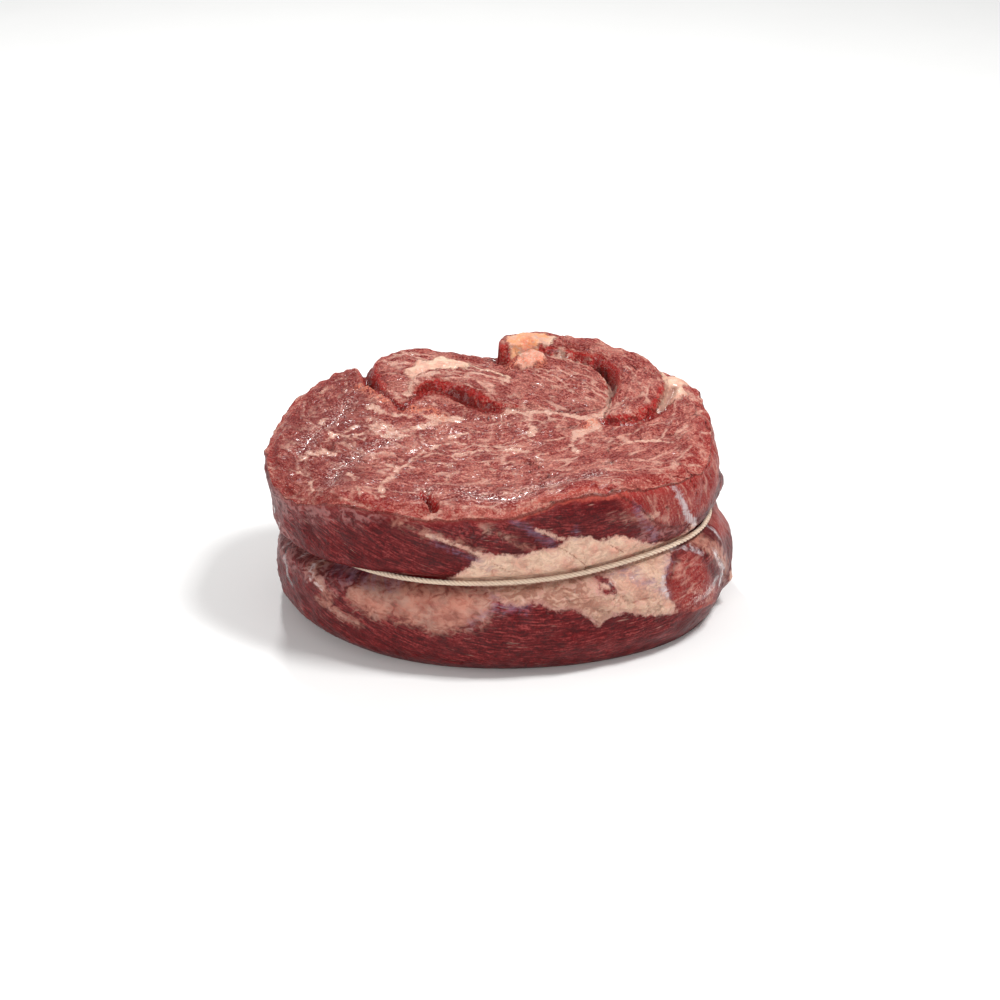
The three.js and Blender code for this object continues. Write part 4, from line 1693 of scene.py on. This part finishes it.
@dataclass(frozen=True)
class MeatFinish:
    """Raw beef: moist muscle with fibres and marbling, fat, silverskin and film, with painted shade and
    glints.
    """

    cut_dark: Colour = srgb(108, 22, 20)
    cut_mid: Colour = srgb(158, 70, 62)
    cut_pale: Colour = srgb(204, 136, 120)
    side_dark: Colour = srgb(66, 3, 6)
    side_mid: Colour = srgb(96, 10, 15)
    side_pale: Colour = srgb(142, 54, 52)
    red: Colour = srgb(198, 40, 35)
    deep: Colour = srgb(74, 4, 7)
    vein: Colour = srgb(216, 164, 146)
    cream: Colour = srgb(226, 190, 165)
    pink_fat: Colour = srgb(212, 152, 132)
    grey_fat: Colour = srgb(176, 136, 120)
    crease: Colour = srgb(150, 84, 68)
    thin_fat: Colour = srgb(188, 124, 106)
    seam_fat: Colour = srgb(226, 180, 160)
    yellow_fat: Colour = srgb(218, 144, 98)
    # the fat's colour in painted shade below the string
    fat_in_painted_shade: Colour = srgb(146, 98, 82)
    # the lips' red: torn flesh, lighter than the side as a painted highlight
    lip_red: Colour = srgb(186, 78, 64)
    # the pale flecks of painted sparkle
    painted_sparkle: Colour = srgb(232, 208, 202)
    rosy_fat: Colour = srgb(214, 120, 92)
    silver: Colour = srgb(212, 200, 202)
    violet: Colour = srgb(126, 106, 132)
    film: Colour = srgb(184, 128, 124)

    def material(self) -> bpy.types.Material:
        """Builds the material.

        Returns:
            The finished material.
        """
        w = MeatWires(Paint("raw_beef"))
        p = w.paint
        fat = (w.fat_depth + w.ragged * 4.4).ramp(-0.6, 0.9)
        muscle = self.thinly_covered(w, self.marbled(w, self.muscle(w)))
        flesh = self.rosy_and_torn(w, p.mix(fat, muscle, self.fat(w)))
        silver = (w.silver_depth + w.ragged * 4 + (w.strands - 0.5) * 5).ramp(-1.0, 1.2)
        flesh = self.under_skin(w, flesh, silver)
        # painted shade in the creases and the groove, then painted sparkle near the wet creases
        flesh = self.add_painted_sparkle(w, p.mix(w.shade * 0.6, flesh, self.deep))
        gloss = (w.gloss_depth + w.ragged * 2).ramp(-0.6, 0.8)
        glaze = w.patchy.ramp(0.48, 0.66) * (w.cut * 0.05 + 0.07)
        surface = {
            "Base Color": flesh,
            "Roughness": 0.42 - w.wet * 0.12 - silver * 0.06 - gloss * 0.16,
            "Coat Weight": 0.02 + w.wet * 0.16 + gloss * 0.9 + glaze + silver * 0.15,
            "Coat Roughness": 0.14,
            "Specular IOR Level": 0.18,
            "Subsurface Weight": 0.10,
            "Subsurface Radius": (1.0, 0.3, 0.2),
            "Subsurface Scale": 0.003,
        }
        return p.finish(surface, self.relief(w, fat))

    def muscle(self, w: MeatWires) -> Wire:
        """The bare muscle: dark between its fibres, pale on them, red and deep where it is wet.

        Args:
            w: the patterns.

        Returns:
            The colour.
        """
        p = w.paint
        dark = p.mix(w.cut, self.side_dark, self.cut_dark)
        middle = p.mix(w.cut, self.side_mid, self.cut_mid)
        pale = p.mix(w.cut, self.side_pale, self.cut_pale)
        lightness = w.mottle.ramp(0.35, 0.65) * 0.5 + 0.5
        colour = p.mix(w.fibre.ramp(0.43, 0.51), dark, middle)
        colour = p.mix(w.fibre.ramp(0.51, 0.60) * lightness, colour, pale)
        colour = p.mix(w.mottle.ramp(0.5, 0.35) * 0.35, colour, dark)
        colour = p.mix(w.mottle.ramp(0.5, 0.62) * w.cut * 0.3, colour, pale)
        colour = p.mix((w.fresh * 0.5).most(w.wet) * w.fibre.ramp(0.64, 0.44), colour, self.red)
        between = w.wet * w.fibre.ramp(0.50, 0.42) * 0.5
        return p.mix(between.most(w.crack.ramp(0.15, 0.9) * 0.9), colour, self.deep)

    def marbled(self, w: MeatWires, muscle: Wire) -> Wire:
        """The muscle with its marbling: a web with a finer one on the cut face, dashes on the side.

        Args:
            w: the patterns.
            muscle: the bare muscle's colour.

        Returns:
            The colour.
        """
        p = w.paint
        web = p.cells(p.warped(w.grain.stretched(8, 20, 20), 0.8, 0.35)).ramp(0.10, 0.01)
        web = web * p.noise(w.at.stretched(10, 10, 10), 2).ramp(0.42, 0.58)
        fine = p.cells(p.warped(w.grain.stretched(4, 11, 11), 0.8, 0.4)).ramp(0.10, 0.0)
        fine = fine * w.patchy.ramp(0.50, 0.64)
        veins = web.most(fine * 0.55) * (w.ragged + 0.5).ramp(0.3, 0.55) * w.cut
        dashes = w.streaks.ramp(0.63, 0.74) * w.patchy.ramp(0.44, 0.6) * (1 - w.cut)
        return p.mix(veins.most(dashes * 0.5) * (1 - w.wet) * 0.8, muscle, self.vein)

    def thinly_covered(self, w: MeatWires, muscle: Wire) -> Wire:
        """The muscle under its film, the thin fat of the side and the seams of the cut face.

        Args:
            w: the patterns.
            muscle: the marbled muscle's colour.

        Returns:
            The colour.
        """
        p = w.paint
        film = (w.film_depth + w.ragged * 9).ramp(-2.5, 3.5)
        film = film * (w.strands.ramp(0.42, 0.62) * 0.45 + 0.05 + w.cut * 0.2)
        colour = p.mix(film, muscle, p.mix(w.cut, self.film, self.cut_dark))
        thin = (w.thin_depth + w.ragged * 3 + (w.strands - 0.5) * 10).ramp(-2.5, 4.5) * (1 - w.cut)
        thin = thin * (w.strands.ramp(0.34, 0.60) * 0.28 + w.patchy.ramp(0.32, 0.6) * 0.32 + 0.34)
        greyness = w.mottle.ramp(0.42, 0.60) * 0.6 + w.strands.ramp(0.44, 0.6) * 0.2
        colour = p.mix(thin, colour, p.mix(greyness, self.thin_fat, self.grey_fat))
        seam = (w.thin_depth + w.ragged * 6 + (w.patchy - 0.5) * 6).ramp(-0.9, 0.9) * w.cut * 0.9
        return p.mix(seam, colour, p.mix(w.specks.ramp(0.4, 0.6), self.seam_fat, self.vein))

    def fat(self, w: MeatWires) -> Wire:
        """The thick fat: cream, pink and grey in turns, darkened by painted shade below the string, with
        creases.

        Args:
            w: the patterns.

        Returns:
            The colour.
        """
        p = w.paint
        pinkness = p.noise(w.at.stretched(7, 7, 7) + 9, 3)
        pinkness = pinkness + w.rosy * 0.25 + w.cut * 0.06 + w.ragged * 0.3
        colour = p.mix(pinkness.ramp(0.42, 0.70) * 0.85, self.cream, self.pink_fat)
        colour = p.mix(w.strands.ramp(0.48, 0.62) * 0.45, colour, self.grey_fat)
        colour = p.mix(w.yellow * w.strands.ramp(0.64, 0.4) * 0.9, colour, self.yellow_fat)
        # painted shade: the fat below the string darkened as if the bulge above shades it
        colour = p.mix(w.below * (w.strands.ramp(0.36, 0.6) * 0.45 + 0.5), colour, self.fat_in_painted_shade)
        between = w.lumps.ramp(0.05, 0.0) * w.patchy.ramp(0.5, 0.6) * (1 - w.cut) * 0.25
        colour = p.mix(between.most(w.crack.ramp(0.3, 1) * 0.7), colour, self.crease)
        worn = w.strands.ramp(0.46, 0.34) * 0.35 + (w.fat_depth + w.ragged * 3).ramp(2.6, 0.2) * 0.35
        return p.mix(worn * (1 - w.cut), colour, self.film)

    def rosy_and_torn(self, w: MeatWires, flesh: Wire) -> Wire:
        """The flesh with its moist pink bits and the ragged lips of the rim, lightened by a painted
        highlight.

        Args:
            w: the patterns.
            flesh: the flesh's colour so far.

        Returns:
            The colour.
        """
        flesh = w.paint.mix(w.rosy * (w.specks + w.ragged).ramp(0.4, 0.62) * 0.8, flesh, self.rosy_fat)
        lip = (w.lip + w.ragged * 1.6).ramp(0.35, 1.0) * (0.75 - w.specks.ramp(0.46, 0.64) * 0.45)
        return w.paint.mix(lip, flesh, self.lip_red)

    def under_skin(self, w: MeatWires, flesh: Wire, silver: Wire) -> Wire:
        """The flesh under bluish and white silverskin, with painted sheen and glints in places.

        Args:
            w: the patterns.
            flesh: the flesh's colour so far.
            silver: how much white silverskin there is.

        Returns:
            The colour.
        """
        violet = (w.violet_depth + w.ragged * 3 + (w.strands - 0.5) * 8).ramp(-1.8, 2.6)
        flesh = w.paint.mix(violet * (w.streaks.ramp(0.38, 0.62) * 0.36 + 0.14), flesh, self.violet)
        return w.paint.mix(silver * (w.streaks.ramp(0.38, 0.6) * 0.4 + 0.36), flesh, self.silver)

    def add_painted_sparkle(self, w: MeatWires, flesh: Wire) -> Wire:
        """The flesh with painted sparkle near the wet creases: pale flecks of painted glint and dark
        pits of painted shade.

        Args:
            w: the patterns.
            flesh: the flesh's colour so far.

        Returns:
            The colour.
        """
        # where painted sparkle lies: round the glossy creases of the cut face
        painted_sparkle = (w.gloss_depth + w.ragged * 12).ramp(-6.5, 1) * w.cut
        flesh = w.paint.mix(painted_sparkle * w.specks.ramp(0.53, 0.64) * 0.65, flesh, self.painted_sparkle)
        return w.paint.mix(painted_sparkle * w.specks.ramp(0.47, 0.36) * 0.5, flesh, self.deep)

    def relief(self, w: MeatWires, fat: Wire) -> Wire:
        """The bumps too small for the mesh: the muscle's fibres and the fat's lumps.

        Args:
            w: the patterns.
            fat: how much thick fat there is.

        Returns:
            The height in millimetres.
        """
        fibrous = (w.bundles * 1.3 + w.threads * 0.4 + w.specks * 1.1) * (w.cut * 0.75 + 0.25)
        lumpy = (w.lumps.ramp(0, 0.3) * 0.5 + w.specks * 0.2 + w.ragged * 0.8) * (1.2 - w.cut)
        return fibrous * (1 - fat * 0.75) + fat * lumpy


@dataclass(frozen=True)
class TwineFinish:
    """Matt twisted cotton, a little stained by the meat."""

    cotton: Colour = srgb(242, 220, 196)
    shadow: Colour = srgb(150, 112, 90)
    stain: Colour = srgb(226, 188, 168)

    def material(self) -> bpy.types.Material:
        """Builds the material.

        Returns:
            The finished material.
        """
        p = Paint("cotton_twine")
        at, run, proud = p.place(), p.noted("run"), p.noted("proud").part(0)
        hairs = p.noise(run.stretched(2.2, 0.16, 0.16), 3, 0.7, 0.4)
        blotch = p.noise(at.stretched(9, 9, 9), 2).ramp(0.5, 0.72)
        colour = p.mix(hairs.ramp(0.58, 0.3) * 0.4, self.cotton, self.shadow)
        colour = p.mix(blotch * 0.4, colour, self.stain)
        colour = p.mix(proud.ramp(0.9, 0.62) * 0.7, colour, self.shadow)
        surface = {
            "Base Color": colour,
            "Roughness": 0.9,
            "Sheen Weight": 0.2,
            "Sheen Roughness": 0.5,
            "Specular IOR Level": 0.2,
        }
        return p.finish(surface, hairs * 0.16)


@dataclass(frozen=True)
class FloorFinish:
    """A plain pale floor with a faint mottle."""

    pale: Colour = srgb(240, 240, 239)
    paler: Colour = srgb(244, 244, 243)

    def material(self) -> bpy.types.Material:
        """Builds the material.

        Returns:
            The finished material.
        """
        p = Paint("pale_floor")
        grain = p.noise(p.place().stretched(60, 60, 60), 3)
        surface = {"Base Color": p.mix(grain, self.pale, self.paler), "Roughness": 0.7}
        return p.finish(surface, grain * 0.02)


# -------------------------------------------------------------------------------- the studio


@dataclass(frozen=True)
class Camera:
    """The view of the joint, from the front and a little above."""

    aim: tuple[float, float, float] = (0, 102, 0)
    pitch: float = 23.1
    distance: float = 1688.2
    frame_pixels: int = 1000
    focal_pixels: float = 3670
    sensor: float = 36
    sees_metres: Point = (0.05, 50)

    def place(self, origin: Array) -> bpy.types.Object:
        """Puts the camera in the scene.

        Args:
            origin: where the form's origin lies in the frame, in millimetres.

        Returns:
            The camera.
        """
        data = bpy.data.cameras.new("camera")
        data.sensor_width = self.sensor
        data.lens = self.focal_pixels / self.frame_pixels * self.sensor
        data.clip_start, data.clip_end = self.sees_metres
        camera = bpy.data.objects.new("camera", data)
        down = self.pitch * DEGREE
        ahead = np.array([0, math.cos(down), -math.sin(down)])
        camera.location = (np.array(self.aim) + origin - ahead * self.distance) * MM
        camera.rotation_euler = (math.pi / 2 - down, 0, 0)
        bpy.context.scene.collection.objects.link(camera)
        bpy.context.scene.camera = camera
        return camera


@dataclass(frozen=True)
class Softbox:
    """A square white lamp that looks at the joint."""

    name: str
    spot: tuple[float, float, float]
    size: float
    watts: float

    def place(self, aim: Vector) -> bpy.types.Object:
        """Puts the lamp in the scene.

        Args:
            aim: the place that it looks at, in metres.

        Returns:
            The lamp.
        """
        data = bpy.data.lights.new(self.name, "AREA")
        data.shape, data.size = "SQUARE", self.size * MM
        data.energy = self.watts
        lamp = bpy.data.objects.new(self.name, data)
        lamp.location = Vector(self.spot) * MM
        lamp.rotation_euler = (aim - lamp.location).to_track_quat("-Z", "Y").to_euler()
        bpy.context.scene.collection.objects.link(lamp)
        return lamp


@dataclass(frozen=True)
class Studio:
    """The pale floor, the soft lamps and the light from all round."""

    floor_size: float = 12000
    ambient: float = 0.38
    lamps: Sequence[Softbox] = (
        Softbox("key", (560, -60, 1150), 340, 12.5),
        Softbox("front", (-250, -1300, 500), 500, 6.5),
        Softbox("left", (-1300, -250, 500), 400, 2.8),
        Softbox("spark", (-200, 800, 900), 110, 6),
    )

    def build(self) -> None:
        """Makes the floor, the lamps and the world's light."""
        half = self.floor_size / 2
        corners = np.array([(-half, -half, 0), (half, -half, 0), (half, half, 0), (-half, half, 0)])
        floor = new_piece("floor", corners, [tuple(range(len(corners)))])
        floor.data.materials.append(FloorFinish().material())
        low, high = map(Vector, CAD_BOX)
        for lamp in self.lamps:
            lamp.place((low + high) / 2)
        world = bpy.data.worlds.new("daylight")
        world.use_nodes = True
        light = world.node_tree.nodes["Background"].inputs
        light["Color"].default_value, light["Strength"].default_value = (1, 1, 1, 1), self.ambient
        bpy.context.scene.world = world
        bpy.context.scene.view_settings.view_transform = "Standard"


# ------------------------------------------------------------------------------- everything


def form_origin(form: Form) -> Array:
    """Where the form's own origin lies in the frame.

    The frame's origin is under the middle of the joint, and the form's is where its ovals are
    measured from.

    Args:
        form: the joint's form.

    Returns:
        The shift in millimetres.
    """
    low, high = (np.array(corner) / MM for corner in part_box("beef"))
    angle = np.linspace(-180, 180, 3601)
    widest = []
    for side, top in ((form.upper, form.face_height), (form.lower, 0)):
        for share in np.linspace(0, 1, 121):
            floor = form.level(angle)
            z = floor + share * (top - floor)
            radius = form.side_radius(side, angle, z, np.full_like(angle, share), np.abs(z - floor))
            widest.append(np.stack([radius * np.cos(angle * DEGREE), radius * np.sin(angle * DEGREE)]))
    reach = np.concatenate(widest, axis=1)
    middle = (reach.max(axis=1) + reach.min(axis=1)) / 2
    return np.array([*((low + high)[:2] / 2 - middle), 0])


def dress(piece: bpy.types.Object, material: bpy.types.Material, node: str) -> None:
    """Gives a piece its finish, hangs it under the root body and hides the solid that it stands for.

    Args:
        piece: the piece.
        material: its finish.
        node: the solid that it takes the place of.
    """
    piece.data.materials.append(material)
    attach(piece, "root")
    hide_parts(node)
    mesh = piece.data
    log.info("%s: %d corners, %d faces", piece.name, len(mesh.vertices), len(mesh.polygons))


def main() -> None:
    """Builds the joint and the studio."""
    logging.basicConfig(level=logging.INFO, format="%(name)s: %(message)s")
    form = Form()
    origin = form_origin(form)
    log.info("form origin %s", origin.round(3))
    dress(Meat(form, origin).build(), MeatFinish().material(), "beef")
    dress(Twine(form, origin).build(), TwineFinish().material(), "string")
    Studio().build()
    Camera().place(origin)
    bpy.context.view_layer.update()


if __name__ == "__main__":
    main()
